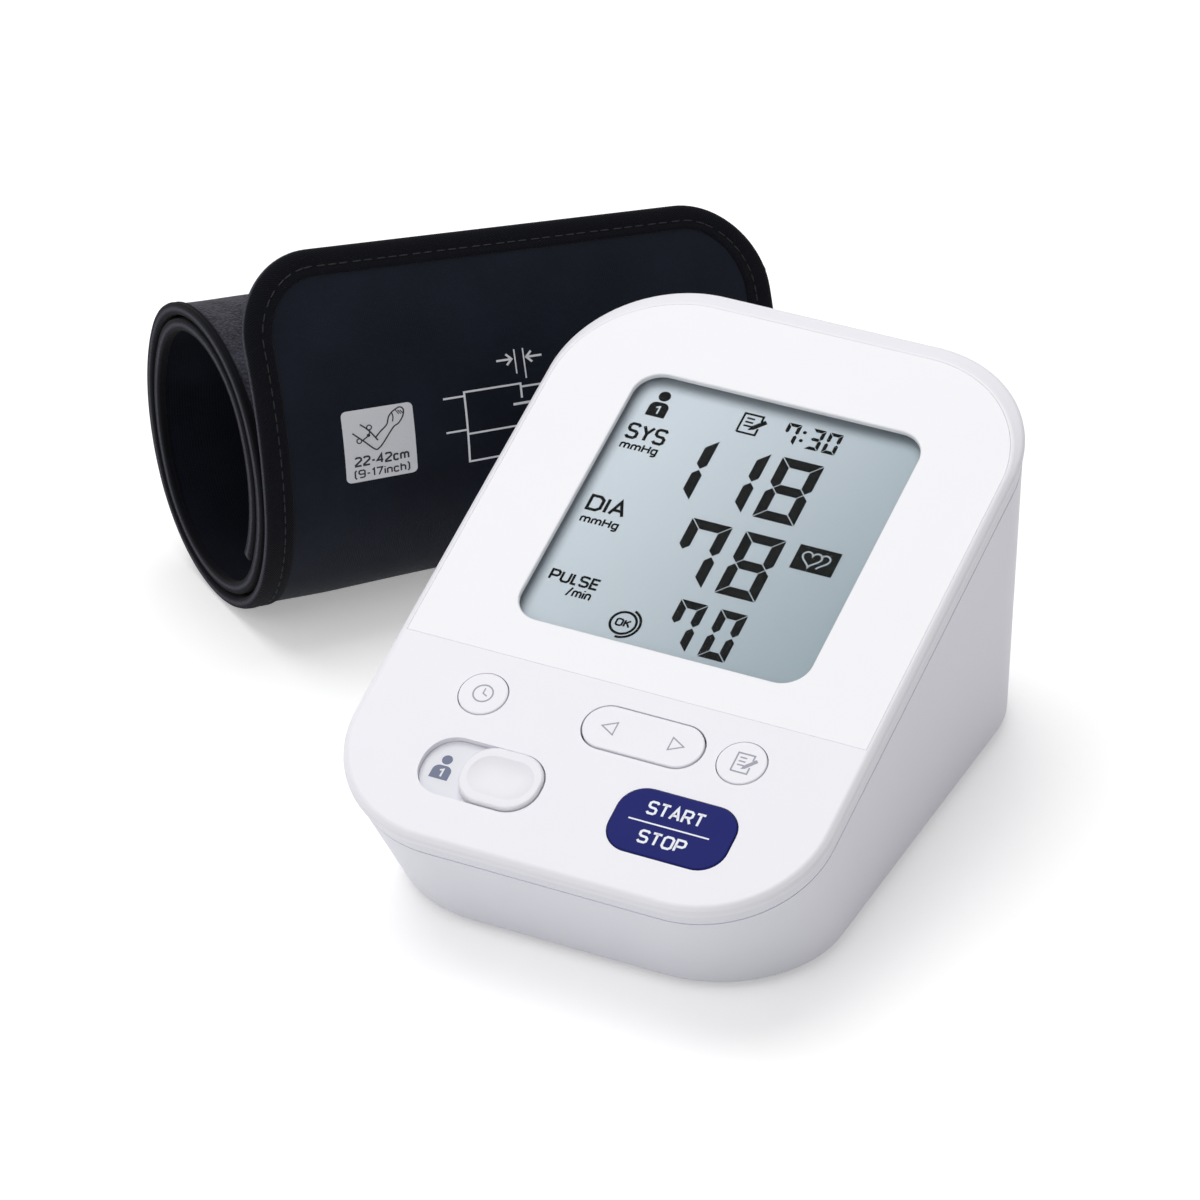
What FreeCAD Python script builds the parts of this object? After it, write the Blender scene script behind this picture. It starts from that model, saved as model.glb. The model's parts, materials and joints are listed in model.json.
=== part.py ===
import FreeCAD, Part
import math
import os
from FreeCAD import Placement, Rotation, Vector

# Upper-arm blood pressure monitor: a wedge-shaped table case and its rolled arm cuff.
# Millimetres. +X right, +Y away from the user, +Z up. The origin is the middle of the case's flat underside.
# The sloped face has its own frame: u across, v up the slope, n out of the face.

# Case, overall
CASE_WIDTH = 105.0
FACE_TILT = 20.3
FACE_HEIGHT = 56.8
FACE_FRONT = 83.8
FACE_BACK = 64.4
RIM_FRONT_RADIUS = 26.0
RIM_BACK_RADIUS = 28.0
BASE_FRONT = 64.9
BASE_BACK = 68.0
SIDE_TAPER = 4.6
BASE_FRONT_RADIUS = 27.0
BASE_BACK_RADIUS = 27.0
BASE_EDGE_RADIUS = 1.6
WALL = 2.2
FOOT_HEIGHT = 1.2
SEAM_STEP = 0.3
SEAM_LINE_DROP = 5.4
SEAM_LINE_WIDTH = 0.45
SEAM_LINE_DEPTH = 0.35
OVERRUN = 5.0
TOLERANCE = 1e-4

# Top cover
COVER_THICKNESS = 2.2
BEVEL_SIDE = 1.2
BEVEL_FRONT = 1.2
BEVEL_BACK = 4.0
BEVEL_DROP = 1.1
RIM_EDGE_RADIUS = 1.2
LIP_CLEARANCE = 1.2
LIP_THICKNESS = 1.4
LIP_DEPTH = 2.0
BOSS_RADIUS = 3.2
BOSS_ROOT = 0.6

# Display
SEAM_PLACE = -36.9
PANEL_THICKNESS = 1.0
PANEL_LAND = 0.5
PANEL_GAP = 0.06
WINDOW_WIDTH = 64.6
WINDOW_LENGTH = 67.0
WINDOW_RADIUS = 6.0
WINDOW_PLACE = 6.7
WINDOW_EDGE_RADIUS = 0.4
LENS_LEDGE = 2.0
LENS_CLEARANCE = 0.15
GLASS_GAP = 0.3
GLASS_MARGIN = 2.2
GLASS_THICKNESS = 2.2
FRAME_WALL = 2.4
FRAME_LEDGE = 3.4
FRAME_CLEARANCE = 0.2
FRAME_RADIUS = 2.0
REFLECTOR_THICKNESS = 0.5
STRIP_WIDTH = 2.4
STRIP_INSET = 1.0

# Main board
BOARD_DEPTH = 11.0
BOARD_THICKNESS = 1.6
BOARD_WIDTH = 80.0
BOARD_FRONT = 74.0
BOARD_BACK = 52.0
BOARD_FRONT_RADIUS = 20.0
BOARD_BACK_RADIUS = 3.0
BOARD_NOTCH = 0.7
BOARD_BOSS_RADIUS = 2.6
BOARD_SCREW_FRONT = (36.0, -53.5)
BOARD_SCREW_BACK = (31.0, 48.6)
BOARD_SCREW_RADIUS = 0.85
BOARD_SCREW_REACH = 4.5
BOARD_SCREW_HEAD_RADIUS = 1.9
BOARD_SCREW_HEAD = 1.2
SCREW_CLEARANCE = 0.1
CHIP_SIDE = 12.0
CHIP_THICKNESS = 1.4
CHIP_PLACE = (8.0, 2.0)

# Keys
KEY_DIAMETER = 10.2
KEY_ROW_PLACE = -47.3
KEY_SPREAD = 28.5
KEY_PROUD = 0.25
KEY_TRAVEL = 0.8
KEY_GAP = 0.2
KEY_EDGE_RADIUS = 0.3
KEY_FLANGE = 1.0
KEY_FLANGE_THICKNESS = 0.8
KEY_FLANGE_GAP = 0.3
KEY_STEM_RADIUS = 1.8
KEY_STEM_GAP = 0.15
START_WIDTH = 25.4
START_LENGTH = 15.3
START_RADIUS = 5.6
START_PLACE = (21.7, -66.1)
ROCKER_WIDTH = 26.0
ROCKER_LENGTH = 10.4
ROCKER_PLACE = 7.0
ROCKER_GAP = 0.35
ROCKER_THICKNESS = 2.4
ROCKER_PIVOT_DEPTH = 4.2
ROCKER_BOSS_WIDTH = 4.0
ROCKER_BOSS_END_GAP = 0.6
ROCKER_PIN_RADIUS = 0.8
ROCKER_PIN_PLAY = 0.1
ROCKER_STEM_SPREAD = 8.5
ROCKER_STEM_RADIUS = 1.4
LUG_THICKNESS = 1.6
LUG_WIDTH = 4.0
LUG_MARGIN = 1.4
SWITCH_SIDE = 6.0
SWITCH_BODY = 3.4
SWITCH_PLUNGER = 0.9
SWITCH_PLUNGER_RADIUS = 1.7

# User switch
SLOT_WIDTH = 26.6
SLOT_LENGTH = 14.4
SLOT_RADIUS = 6.6
SLOT_PLACE = (-20.3, -65.6)
SLOT_DEPTH = 1.3
SLOT_FLOOR_FIT = 0.1
SLOT_PLATE_MARGIN = 2.0
SLOT_PLATE_THICKNESS = 1.2
KNOB_WIDTH = 17.2
KNOB_SIDE_GAP = 0.3
KNOB_FLOOR_GAP = 0.3
KNOB_PROUD = 0.8
KNOB_DISH_RADIUS = 16.0
KNOB_DISH_DEPTH = 0.7
KNOB_DISH_RUN = 4.6
KNOB_EDGE_RADIUS = 0.6
NECK_WIDTH = 3.0
NECK_PLAY = 0.3
CARRIER_WIDTH = 9.0
CARRIER_LENGTH = 8.0
CARRIER_THICKNESS = 1.6
CARRIER_FIT = 0.05
TONGUE_WIDTH = 2.0
TONGUE_REACH = 2.0
SLIDE_SWITCH_LENGTH = 8.0
SLIDE_SWITCH_HEIGHT = 4.6
SLIDE_SWITCH_MARGIN = 3.0
TONGUE_PLAY = 0.3

# Posts, screws and feet
POST_INSET = 5.6
POST_FRONT_PLACE = -33.0
POST_BACK_PLACE = 40.0
POST_RADIUS = 3.8
POST_SPLIT_DEPTH = 16.0
POST_SEAT = 3.0
SCREW_RADIUS = 1.3
SCREW_REACH = 9.0
SCREW_HEAD_RADIUS = 2.4
SCREW_HEAD = 1.8
COUNTERBORE_RADIUS = 2.7
FOOT_RADIUS = 5.5
FOOT_SEAT = 0.8
FOOT_EDGE_RADIUS = 0.4
FOOT_SIDE_INSET = 16.0
FOOT_END_INSET = 24.0

# Battery bay and door
CELL_RADIUS = 7.1
CELL_LENGTH = 49.2
CELL_NUB_RADIUS = 2.7
CELL_NUB = 1.3
CELL_GAP = 0.4
CELL_END_ROOM = 3.0
BAY_WALL = 2.0
BAY_SHELF = 11.6
DOOR_THICKNESS = 2.2
DOOR_CORNER_RADIUS = 8.0
DOOR_GAP = 0.25
HINGE_HEIGHT = 8.5
HINGE_ROLL_RADIUS = 2.6
HINGE_PIN_RADIUS = 0.9
HINGE_PIN_LENGTH = 1.5
HINGE_PLAY = 0.08
NOTCH_RADIUS = 7.0
NOTCH_DEPTH = 1.2
CONTACT_THICKNESS = 0.4
CONTACT_WIDTH = 9.0
CONTACT_BUMP_RADIUS = 2.4

# Air pump, along X
PUMP_PLACE = (14.0, 18.0)
PUMP_HEAD_START = -13.0
PUMP_NIPPLE = 4.0
PUMP_HEAD_RADIUS = 13.0
PUMP_HEAD_LENGTH = 9.0
DIAPHRAGM_THICKNESS = 1.6
DIAPHRAGM_CUPS = 3
DIAPHRAGM_CUP_RADIUS = 3.0
DIAPHRAGM_CUP_SPREAD = 6.5
DIAPHRAGM_CUP_DEPTH = 1.5
DRIVE_PLATE_RADIUS = 9.5
DRIVE_PLATE_THICKNESS = 1.5
DRIVE_PLATE_HOLE = 2.6
HOUSING_LENGTH = 11.0
HOUSING_WALL = 1.6
CRANK_RADIUS = 4.5
CRANK_THICKNESS = 3.0
CRANK_THROW = 1.2
CRANK_PIN_RADIUS = 0.8
CRANK_PIN_LENGTH = 3.0
MOTOR_RADIUS = 12.0
MOTOR_LENGTH = 30.0
MOTOR_WALL = 1.0
MAGNET_THICKNESS = 2.4
MAGNET_SPAN = 120.0
ROTOR_GAP = 0.6
ROTOR_LENGTH = 19.0
SHAFT_RADIUS = 1.0
SHAFT_PLAY = 0.1
END_CAP_THICKNESS = 3.0
CRADLE_LENGTH = 24.0
CRADLE_WIDTH = 18.0
CRADLE_FIT = 0.1

# Air path
NIPPLE_RADIUS = 1.5
NIPPLE_BORE = 0.8
NIPPLE_LENGTH = 3.0
TUBE_RADIUS = 2.6
TUBE_BORE = 1.6
MANIFOLD_SIDE = 9.0
MANIFOLD_PLACE = -27.0
TUBE_END_GAP = 0.4
SENSOR_WIDTH = 8.0
SENSOR_LENGTH = 10.0
SENSOR_HEIGHT = 5.0
SENSOR_RISE = 17.0
SENSOR_BEND_RADIUS = 13.0

# Air jack and power inlet, both in the left wall
JACK_FLANGE_RADIUS = 6.6
JACK_FLANGE = 1.0
JACK_PROUD = 0.6
JACK_BARREL_RADIUS = 5.2
JACK_BORE_RADIUS = 3.6
JACK_BORE_DEPTH = 9.5
JACK_FLOOR = 1.5
JACK_FIT = 0.1
INLET_PLACE = (28.5, 16.0)
INLET_FLANGE_RADIUS = 5.0
INLET_BARREL_RADIUS = 4.2
INLET_BORE_RADIUS = 2.9
INLET_PIN_RADIUS = 0.95
INLET_DEPTH = 10.0
INLET_FLOOR = 2.0

# Exhaust valve, along Y in front of the manifold
VALVE_TUBE_LENGTH = 9.0
VALVE_COIL_RADIUS = 6.5
VALVE_COIL_LENGTH = 13.0
VALVE_BORE_RADIUS = 2.6
VALVE_YOKE_WIDTH = 15.0
VALVE_YOKE_THICKNESS = 1.6
VALVE_PLUNGER_RADIUS = 2.2
VALVE_PLUNGER_TAIL = 5.5
VALVE_TAIL_FLANGE = 0.8
VALVE_HEAD_RADIUS = 3.2
VALVE_HEAD = 1.2
VALVE_STROKE = 0.8
VALVE_SPRING_WIRE = 0.3
VALVE_SPRING_RADIUS = 2.75
VALVE_STAND_WIDTH = 8.0

# Arm cuff, rolled up and lying beside the case
CUFF_WIDTH = 120.0
CUFF_PLACE = (-129.1, 20.3)
CUFF_TURN = 47.0
CUFF_FAR_SHARE = 0.853
CUFF_SLANT_SHARE = 0.15
CUFF_SIDE_RADIUS = 46.2
CUFF_END_RADIUS = 27.1
CUFF_SIDE_SWEEP = 50.0
CUFF_FLAP_RADIUS = 113.0
CUFF_FLAP_SWEEP = 29.1
CUFF_FLAP_SPARE = 3.0
CUFF_FLAP_SKEW = 5.55
CUFF_PITCH = 3.5
CUFF_ARCS = 8
CUFF_HALF_THICKNESS = 1.4
CUFF_FABRIC = 0.55
CUFF_BINDING = 0.3
CUFF_BINDING_WIDTH = 6.0
CUFF_BINDING_EDGE = 0.5
CUFF_FLAP_CORNER = 18.0
BLADDER_EDGE = 12.0
HOOK_THICKNESS = 0.8
HOOK_EDGE = 14.0
HOOK_SPAN_SHARES = (0.38, 0.68)
PORT_SPAN = 20.0
PORT_PLATE = 1.4
PORT_PLATE_SPAN_SHARES = (0.34, 0.66)
PORT_SHOULDER = 0.4
PORT_SHOULDER_RADIUS = 3.5
PORT_NIPPLE_RADIUS = 2.5
PORT_BORE_RADIUS = 1.4
PORT_NIPPLE_LENGTH = 8.0

FACE = Placement(Vector(0, 0, FACE_HEIGHT), Rotation(Vector(1, 0, 0), FACE_TILT))
X_AXIS = Rotation(Vector(0, 1, 0), 90)
MINUS_X_AXIS = Rotation(Vector(0, 1, 0), -90)
MINUS_Y_AXIS = Rotation(Vector(1, 0, 0), 90)
PLUS_Y_AXIS = Rotation(Vector(1, 0, 0), -90)

HALF_WIDTH = CASE_WIDTH / 2
BASE_HALF_WIDTH = HALF_WIDTH - SIDE_TAPER
LENS_WIDTH = WINDOW_WIDTH + 2 * LENS_LEDGE
LENS_LENGTH = WINDOW_LENGTH + 2 * LENS_LEDGE
GLASS_WIDTH = WINDOW_WIDTH + 2 * GLASS_MARGIN
GLASS_LENGTH = WINDOW_LENGTH + 2 * GLASS_MARGIN
GLASS_TOP = COVER_THICKNESS + GLASS_GAP
GLASS_UNDER = GLASS_TOP + GLASS_THICKNESS
BOARD_UNDER = BOARD_DEPTH + BOARD_THICKNESS
SWITCH_TOP = BOARD_DEPTH - SWITCH_BODY - SWITCH_PLUNGER
FLANGE_TOP = COVER_THICKNESS + KEY_FLANGE_GAP
KNOB_LENGTH = SLOT_LENGTH - 2 * KNOB_SIDE_GAP
KNOB_TRAVEL = SLOT_WIDTH - KNOB_WIDTH - 2 * KNOB_SIDE_GAP
KNOB_PLACE = SLOT_PLACE[0] + KNOB_TRAVEL / 2
NECK_PLACE = KNOB_PLACE + KNOB_TRAVEL / 2
PLATE_UNDER = COVER_THICKNESS + SLOT_PLATE_THICKNESS
CARRIER_TOP = PLATE_UNDER + NECK_PLAY
CARRIER_UNDER = CARRIER_TOP + CARRIER_THICKNESS
POST_X = BASE_HALF_WIDTH - POST_INSET
BAY_HALF_WIDTH = (CELL_LENGTH + CELL_NUB + 2 * CELL_END_ROOM) / 2
BAY_DEPTH = DOOR_THICKNESS + 4 * CELL_RADIUS + 3 * CELL_GAP
BAY_TOP = BAY_SHELF + 4 * CELL_RADIUS + 3 * CELL_GAP
ROLL_RECESS = 2 * HINGE_ROLL_RADIUS + DOOR_GAP


def outline(half_width, front, back, front_radius, back_radius):
    """Rounded closed outline in the XY plane, counter-clockwise from its front left corner."""
    def corner(x, y, radius, start):
        points = []
        for angle in (start, start + 45, start + 90):
            turn = math.radians(angle)
            points.append(Vector(x + radius * math.cos(turn), y + radius * math.sin(turn), 0))
        return points

    corners = [
        corner(-half_width + front_radius, front + front_radius, front_radius, 180),
        corner(half_width - front_radius, front + front_radius, front_radius, 270),
        corner(half_width - back_radius, back - back_radius, back_radius, 0),
        corner(-half_width + back_radius, back - back_radius, back_radius, 90),
    ]
    edges = []
    for index, points in enumerate(corners):
        following = corners[(index + 1) % len(corners)]
        edges.append(Part.Arc(*points).toShape())
        if points[-1].distanceToPoint(following[0]) > TOLERANCE:
            edges.append(Part.LineSegment(points[-1], following[0]).toShape())
    return Part.Wire(edges)


def raised(wire, height):
    lifted = wire.copy()
    lifted.translate(Vector(0, 0, height))
    return lifted


def plate(wire, low, high):
    return Part.Face(raised(wire, low)).extrude(Vector(0, 0, high - low))


def pad(width, length, radius, low, high, centre=(0, 0)):
    """Rounded plate centred on a point, between two heights."""
    shape = plate(outline(width / 2, -length / 2, length / 2, radius, radius), low, high)
    shape.translate(Vector(centre[0], centre[1], 0))
    return shape


def block(width, length, low, high, centre=(0, 0)):
    return Part.makeBox(width, length, high - low, Vector(centre[0] - width / 2, centre[1] - length / 2, low))


def rod(radius, low, high, centre=(0, 0)):
    return Part.makeCylinder(radius, high - low, Vector(centre[0], centre[1], low))


def pipe(radius, bore, low, high):
    return rod(radius, low, high).cut(rod(bore, low - OVERRUN, high + OVERRUN))


def placed(shape, place):
    moved = shape.copy()
    moved.Placement = place.multiply(moved.Placement)
    return moved


def on_face(shape):
    return placed(shape, FACE)


def along(shape, rotation, point):
    """Turn a shape drawn along Z onto another axis through a point."""
    return placed(shape, Placement(Vector(*point), rotation))


def fused(shapes):
    return shapes[0].multiFuse(shapes[1:]).removeSplitter()


def mirrored_places(place):
    return [(place[0], place[1]), (-place[0], place[1])]


def edges_at(shape, height):
    return [edge for edge in shape.Edges if all(abs(v.Point.z - height) < TOLERANCE for v in edge.Vertexes)]


def face_point(u, v, n):
    return FACE.multVec(Vector(u, v, n))


# Case shells

def rim_outline(inset):
    return outline(HALF_WIDTH - inset, -FACE_FRONT + inset, FACE_BACK - inset,
                   RIM_FRONT_RADIUS - inset, RIM_BACK_RADIUS - inset)


def face_outline(inset):
    return outline(HALF_WIDTH - BEVEL_SIDE - inset, -FACE_FRONT + BEVEL_FRONT + inset,
                   FACE_BACK - BEVEL_BACK - inset, RIM_FRONT_RADIUS - BEVEL_SIDE - inset,
                   RIM_BACK_RADIUS - BEVEL_SIDE - inset)


def base_outline(inset):
    return outline(BASE_HALF_WIDTH - inset, -BASE_FRONT + inset, BASE_BACK - inset,
                   BASE_FRONT_RADIUS - inset, BASE_BACK_RADIUS - inset)


def case_volume(inset, low):
    """Solid from the base outline up to the parting plane, drawn in by an inset."""
    base = raised(base_outline(inset), low)
    rim = on_face(raised(rim_outline(SEAM_STEP + inset), -COVER_THICKNESS))
    return Part.makeLoft([base, rim], True, True)


def rear_frame():
    """Frame on the rear wall: its Y runs up the wall, its Z points out of the wall."""
    top = face_point(0, FACE_BACK - SEAM_STEP, -COVER_THICKNESS)
    base = Vector(0, BASE_BACK, 0)
    up = (top - base).normalize()
    across = Vector(-1, 0, 0)
    return Placement(base, Rotation(across, up, across.cross(up), "XYZ"))


REAR = rear_frame()


def side_wall(y, z):
    """Half width of the case wall at a place on its straight side."""
    rim_height = FACE_HEIGHT + y * math.tan(math.radians(FACE_TILT))
    return BASE_HALF_WIDTH + (SIDE_TAPER - SEAM_STEP) * z / rim_height


def post_places():
    """Screw posts as x, y and the height where post and boss meet."""
    slope = math.radians(FACE_TILT)
    places = []
    for y in (POST_FRONT_PLACE, POST_BACK_PLACE):
        split = FACE_HEIGHT + y * math.tan(slope) - POST_SPLIT_DEPTH / math.cos(slope)
        for x in (-POST_X, POST_X):
            places.append((x, y, split))
    return places


def board_screw_places():
    return mirrored_places(BOARD_SCREW_FRONT) + mirrored_places(BOARD_SCREW_BACK)


def top_cover():
    skirt = plate(rim_outline(0), -COVER_THICKNESS, -BEVEL_DROP)
    bevel = Part.makeLoft([raised(rim_outline(0), -BEVEL_DROP), face_outline(0)], True, True)
    shell = fused([skirt, bevel])
    shell = shell.makeFillet(RIM_EDGE_RADIUS, edges_at(shell, -BEVEL_DROP) + edges_at(shell, 0))
    lip_inset = WALL + LIP_CLEARANCE
    lip_end = -COVER_THICKNESS - LIP_DEPTH
    lip = plate(rim_outline(lip_inset), lip_end, -COVER_THICKNESS)
    lip = lip.cut(plate(rim_outline(lip_inset + LIP_THICKNESS), lip_end, -COVER_THICKNESS))
    bosses = [rod(BOARD_BOSS_RADIUS, -BOARD_DEPTH, BOSS_ROOT - COVER_THICKNESS, place)
              for place in board_screw_places()]
    openings = [panel_recess()]
    openings.append(pad(LENS_WIDTH + 2 * LENS_CLEARANCE, LENS_LENGTH + 2 * LENS_CLEARANCE,
                        WINDOW_RADIUS + LENS_LEDGE, -OVERRUN, OVERRUN, (0, WINDOW_PLACE)))
    for place in (clock_place(), memory_place()):
        openings.append(rod(KEY_DIAMETER / 2 + KEY_GAP, -OVERRUN, OVERRUN, place))
    openings.append(pad(START_WIDTH + 2 * KEY_GAP, START_LENGTH + 2 * KEY_GAP, START_RADIUS + KEY_GAP,
                        -OVERRUN, OVERRUN, START_PLACE))
    openings.append(pad(ROCKER_WIDTH + 2 * ROCKER_GAP, ROCKER_LENGTH + 2 * ROCKER_GAP,
                        ROCKER_LENGTH / 2 + ROCKER_GAP, -OVERRUN, OVERRUN, (ROCKER_PLACE, KEY_ROW_PLACE)))
    openings.append(pad(SLOT_WIDTH, SLOT_LENGTH, SLOT_RADIUS, -OVERRUN, OVERRUN, SLOT_PLACE))
    shell = shell.cut(Part.makeCompound(openings))
    shell = fused([shell, lip] + bosses + rocker_lugs())
    hole_top = BOARD_SCREW_REACH - BOARD_DEPTH + SCREW_CLEARANCE
    holes = [rod(BOARD_SCREW_RADIUS + SCREW_CLEARANCE, -BOARD_DEPTH - OVERRUN, hole_top, place)
             for place in board_screw_places()]
    holes.append(rocker_pin_rod(0))
    shell = shell.cut(Part.makeCompound(holes))
    shell = on_face(shell)
    above = on_face(block(2 * CASE_WIDTH, 2 * CASE_WIDTH, BOSS_ROOT - COVER_THICKNESS, CASE_WIDTH))
    for x, y, split in post_places():
        boss = rod(BOSS_RADIUS, split, split + CASE_WIDTH, (x, y)).cut(above)
        shell = shell.fuse(boss)
    for x, y, split in post_places():
        shell = shell.cut(rod(SCREW_RADIUS + SCREW_CLEARANCE, split - OVERRUN,
                              split + SCREW_REACH + SCREW_CLEARANCE, (x, y)))
    return shell.removeSplitter()


def seam_line():
    """Narrow groove round the walls, under the cover's rim."""
    low = -SEAM_LINE_DROP - SEAM_LINE_WIDTH
    layer = on_face(block(2 * CASE_WIDTH, 2 * CASE_WIDTH, low, -SEAM_LINE_DROP))
    return layer.cut(case_volume(SEAM_LINE_DEPTH, 0))


def bottom_case():
    outer = case_volume(0, 0)
    outer = outer.makeFillet(BASE_EDGE_RADIUS, edges_at(outer, 0))
    inner = case_volume(WALL, WALL)
    shell = outer.cut(inner).cut(seam_line())
    posts = [rod(POST_RADIUS, WALL / 2, split, (x, y)) for x, y, split in post_places()]
    bay = placed(bay_box(BAY_WALL), REAR).common(outer)
    shell = fused([shell, bay] + posts)
    for x, y, split in post_places():
        shell = shell.cut(rod(COUNTERBORE_RADIUS, -OVERRUN, split - POST_SEAT, (x, y)))
        shell = shell.cut(rod(SCREW_RADIUS + SCREW_CLEARANCE, 0, split + OVERRUN, (x, y)))
    for place in foot_places():
        shell = shell.cut(rod(FOOT_RADIUS, -OVERRUN, FOOT_SEAT, place))
    cuts = [bay_hollow(), hinge_pins(HINGE_PLAY), thumb_notch()]
    for cut in cuts:
        shell = shell.cut(placed(cut, REAR))
    for cut in wall_fitting_cuts():
        shell = shell.cut(cut)
    return shell.removeSplitter()


def foot_places():
    x = BASE_HALF_WIDTH - FOOT_SIDE_INSET
    front = -BASE_FRONT + FOOT_END_INSET
    back = BASE_BACK - FOOT_END_INSET
    return mirrored_places((x, front)) + mirrored_places((x, back))


def rubber_feet():
    feet = []
    for place in foot_places():
        foot = rod(FOOT_RADIUS, -FOOT_HEIGHT, FOOT_SEAT, place)
        feet.append(foot.makeFillet(FOOT_EDGE_RADIUS, edges_at(foot, -FOOT_HEIGHT)))
    return Part.makeCompound(feet)


def case_screws():
    screws = []
    for x, y, split in post_places():
        seat = split - POST_SEAT
        head = rod(SCREW_HEAD_RADIUS, seat - SCREW_HEAD, seat, (x, y))
        screws.append(fused([head, rod(SCREW_RADIUS, seat, split + SCREW_REACH, (x, y))]))
    return Part.makeCompound(screws)


# Display

def panel_recess():
    recess = plate(face_outline(PANEL_LAND), -PANEL_THICKNESS, OVERRUN)
    keypad_side = SEAM_PLACE - CASE_WIDTH
    return recess.cut(block(2 * CASE_WIDTH, 2 * CASE_WIDTH, -OVERRUN, 2 * OVERRUN, (0, keypad_side)))


def display_panel():
    panel = plate(face_outline(PANEL_LAND + PANEL_GAP), -PANEL_THICKNESS, 0)
    keypad_side = SEAM_PLACE + PANEL_GAP - CASE_WIDTH
    panel = panel.cut(block(2 * CASE_WIDTH, 2 * CASE_WIDTH, -OVERRUN, OVERRUN, (0, keypad_side)))
    window = pad(WINDOW_WIDTH, WINDOW_LENGTH, WINDOW_RADIUS, -OVERRUN, OVERRUN, (0, WINDOW_PLACE))
    panel = panel.cut(window)
    def round_window(edge):
        box = edge.BoundBox
        middle = Vector(box.XMin + box.XMax, box.YMin + box.YMax, 0) / 2
        return abs(middle.x) <= WINDOW_WIDTH / 2 and abs(middle.y - WINDOW_PLACE) <= WINDOW_LENGTH / 2

    inside = [edge for edge in edges_at(panel, 0) if round_window(edge)]
    return on_face(panel.makeFillet(WINDOW_EDGE_RADIUS, inside))


def window_lens():
    return on_face(pad(LENS_WIDTH, LENS_LENGTH, WINDOW_RADIUS + LENS_LEDGE,
                       -COVER_THICKNESS, -PANEL_THICKNESS, (0, WINDOW_PLACE)))


def lcd_glass():
    return on_face(pad(GLASS_WIDTH, GLASS_LENGTH, FRAME_RADIUS, -GLASS_UNDER, -GLASS_TOP, (0, WINDOW_PLACE)))


def lcd_frame():
    centre = (0, WINDOW_PLACE)
    pocket_width = GLASS_WIDTH + 2 * FRAME_CLEARANCE
    pocket_length = GLASS_LENGTH + 2 * FRAME_CLEARANCE
    frame = pad(pocket_width + 2 * FRAME_WALL, pocket_length + 2 * FRAME_WALL, FRAME_RADIUS + FRAME_WALL,
                -BOARD_DEPTH, -COVER_THICKNESS, centre)
    pocket = pad(pocket_width, pocket_length, FRAME_RADIUS, -GLASS_UNDER, 0, centre)
    through = pad(GLASS_WIDTH - 2 * FRAME_LEDGE, GLASS_LENGTH - 2 * FRAME_LEDGE, FRAME_RADIUS,
                  -BOARD_DEPTH - OVERRUN, 0, centre)
    return on_face(frame.cut(pocket).cut(through))


def lcd_reflector():
    margin = 2 * (FRAME_LEDGE + STRIP_INSET + STRIP_WIDTH + STRIP_INSET)
    return on_face(pad(GLASS_WIDTH - margin, GLASS_LENGTH - margin, FRAME_RADIUS,
                       -GLASS_UNDER - REFLECTOR_THICKNESS, -GLASS_UNDER, (0, WINDOW_PLACE)))


def lcd_connector_strips():
    reach = GLASS_LENGTH / 2 - FRAME_LEDGE - STRIP_INSET - STRIP_WIDTH / 2
    length = GLASS_WIDTH - 2 * (FRAME_LEDGE + STRIP_INSET)
    strips = [block(length, STRIP_WIDTH, -BOARD_DEPTH, -GLASS_UNDER, (0, WINDOW_PLACE + side * reach))
              for side in (-1, 1)]
    return on_face(Part.makeCompound(strips))


# Main board

def main_board():
    board = plate(outline(BOARD_WIDTH / 2, -BOARD_FRONT, BOARD_BACK, BOARD_FRONT_RADIUS, BOARD_BACK_RADIUS),
                  -BOARD_UNDER, -BOARD_DEPTH)
    for place in board_screw_places():
        board = board.cut(rod(BOARD_SCREW_RADIUS + SCREW_CLEARANCE, -BOARD_UNDER - OVERRUN, 0, place))
    board = on_face(board)
    for x, y, split in post_places():
        board = board.cut(rod(BOSS_RADIUS + BOARD_NOTCH, split, split + CASE_WIDTH, (x, y)))
    return board


def board_screws():
    screws = []
    for place in board_screw_places():
        head = rod(BOARD_SCREW_HEAD_RADIUS, -BOARD_UNDER - BOARD_SCREW_HEAD, -BOARD_UNDER, place)
        shank = rod(BOARD_SCREW_RADIUS, -BOARD_UNDER, BOARD_SCREW_REACH - BOARD_DEPTH, place)
        screws.append(fused([head, shank]))
    return on_face(Part.makeCompound(screws))


def microcontroller():
    return on_face(block(CHIP_SIDE, CHIP_SIDE, -BOARD_UNDER - CHIP_THICKNESS, -BOARD_UNDER, CHIP_PLACE))


# Keys

def clock_place():
    return (-KEY_SPREAD, KEY_ROW_PLACE)


def memory_place():
    return (KEY_SPREAD, KEY_ROW_PLACE)


def rocker_stem_places():
    return [(ROCKER_PLACE + side * ROCKER_STEM_SPREAD, KEY_ROW_PLACE) for side in (-1, 1)]


def rocker_pin_rod(play):
    half = ROCKER_LENGTH / 2 + ROCKER_GAP + LUG_MARGIN + LUG_THICKNESS
    return along(rod(ROCKER_PIN_RADIUS + play, -half, half), PLUS_Y_AXIS,
                 (ROCKER_PLACE, KEY_ROW_PLACE, -ROCKER_PIVOT_DEPTH))


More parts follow.
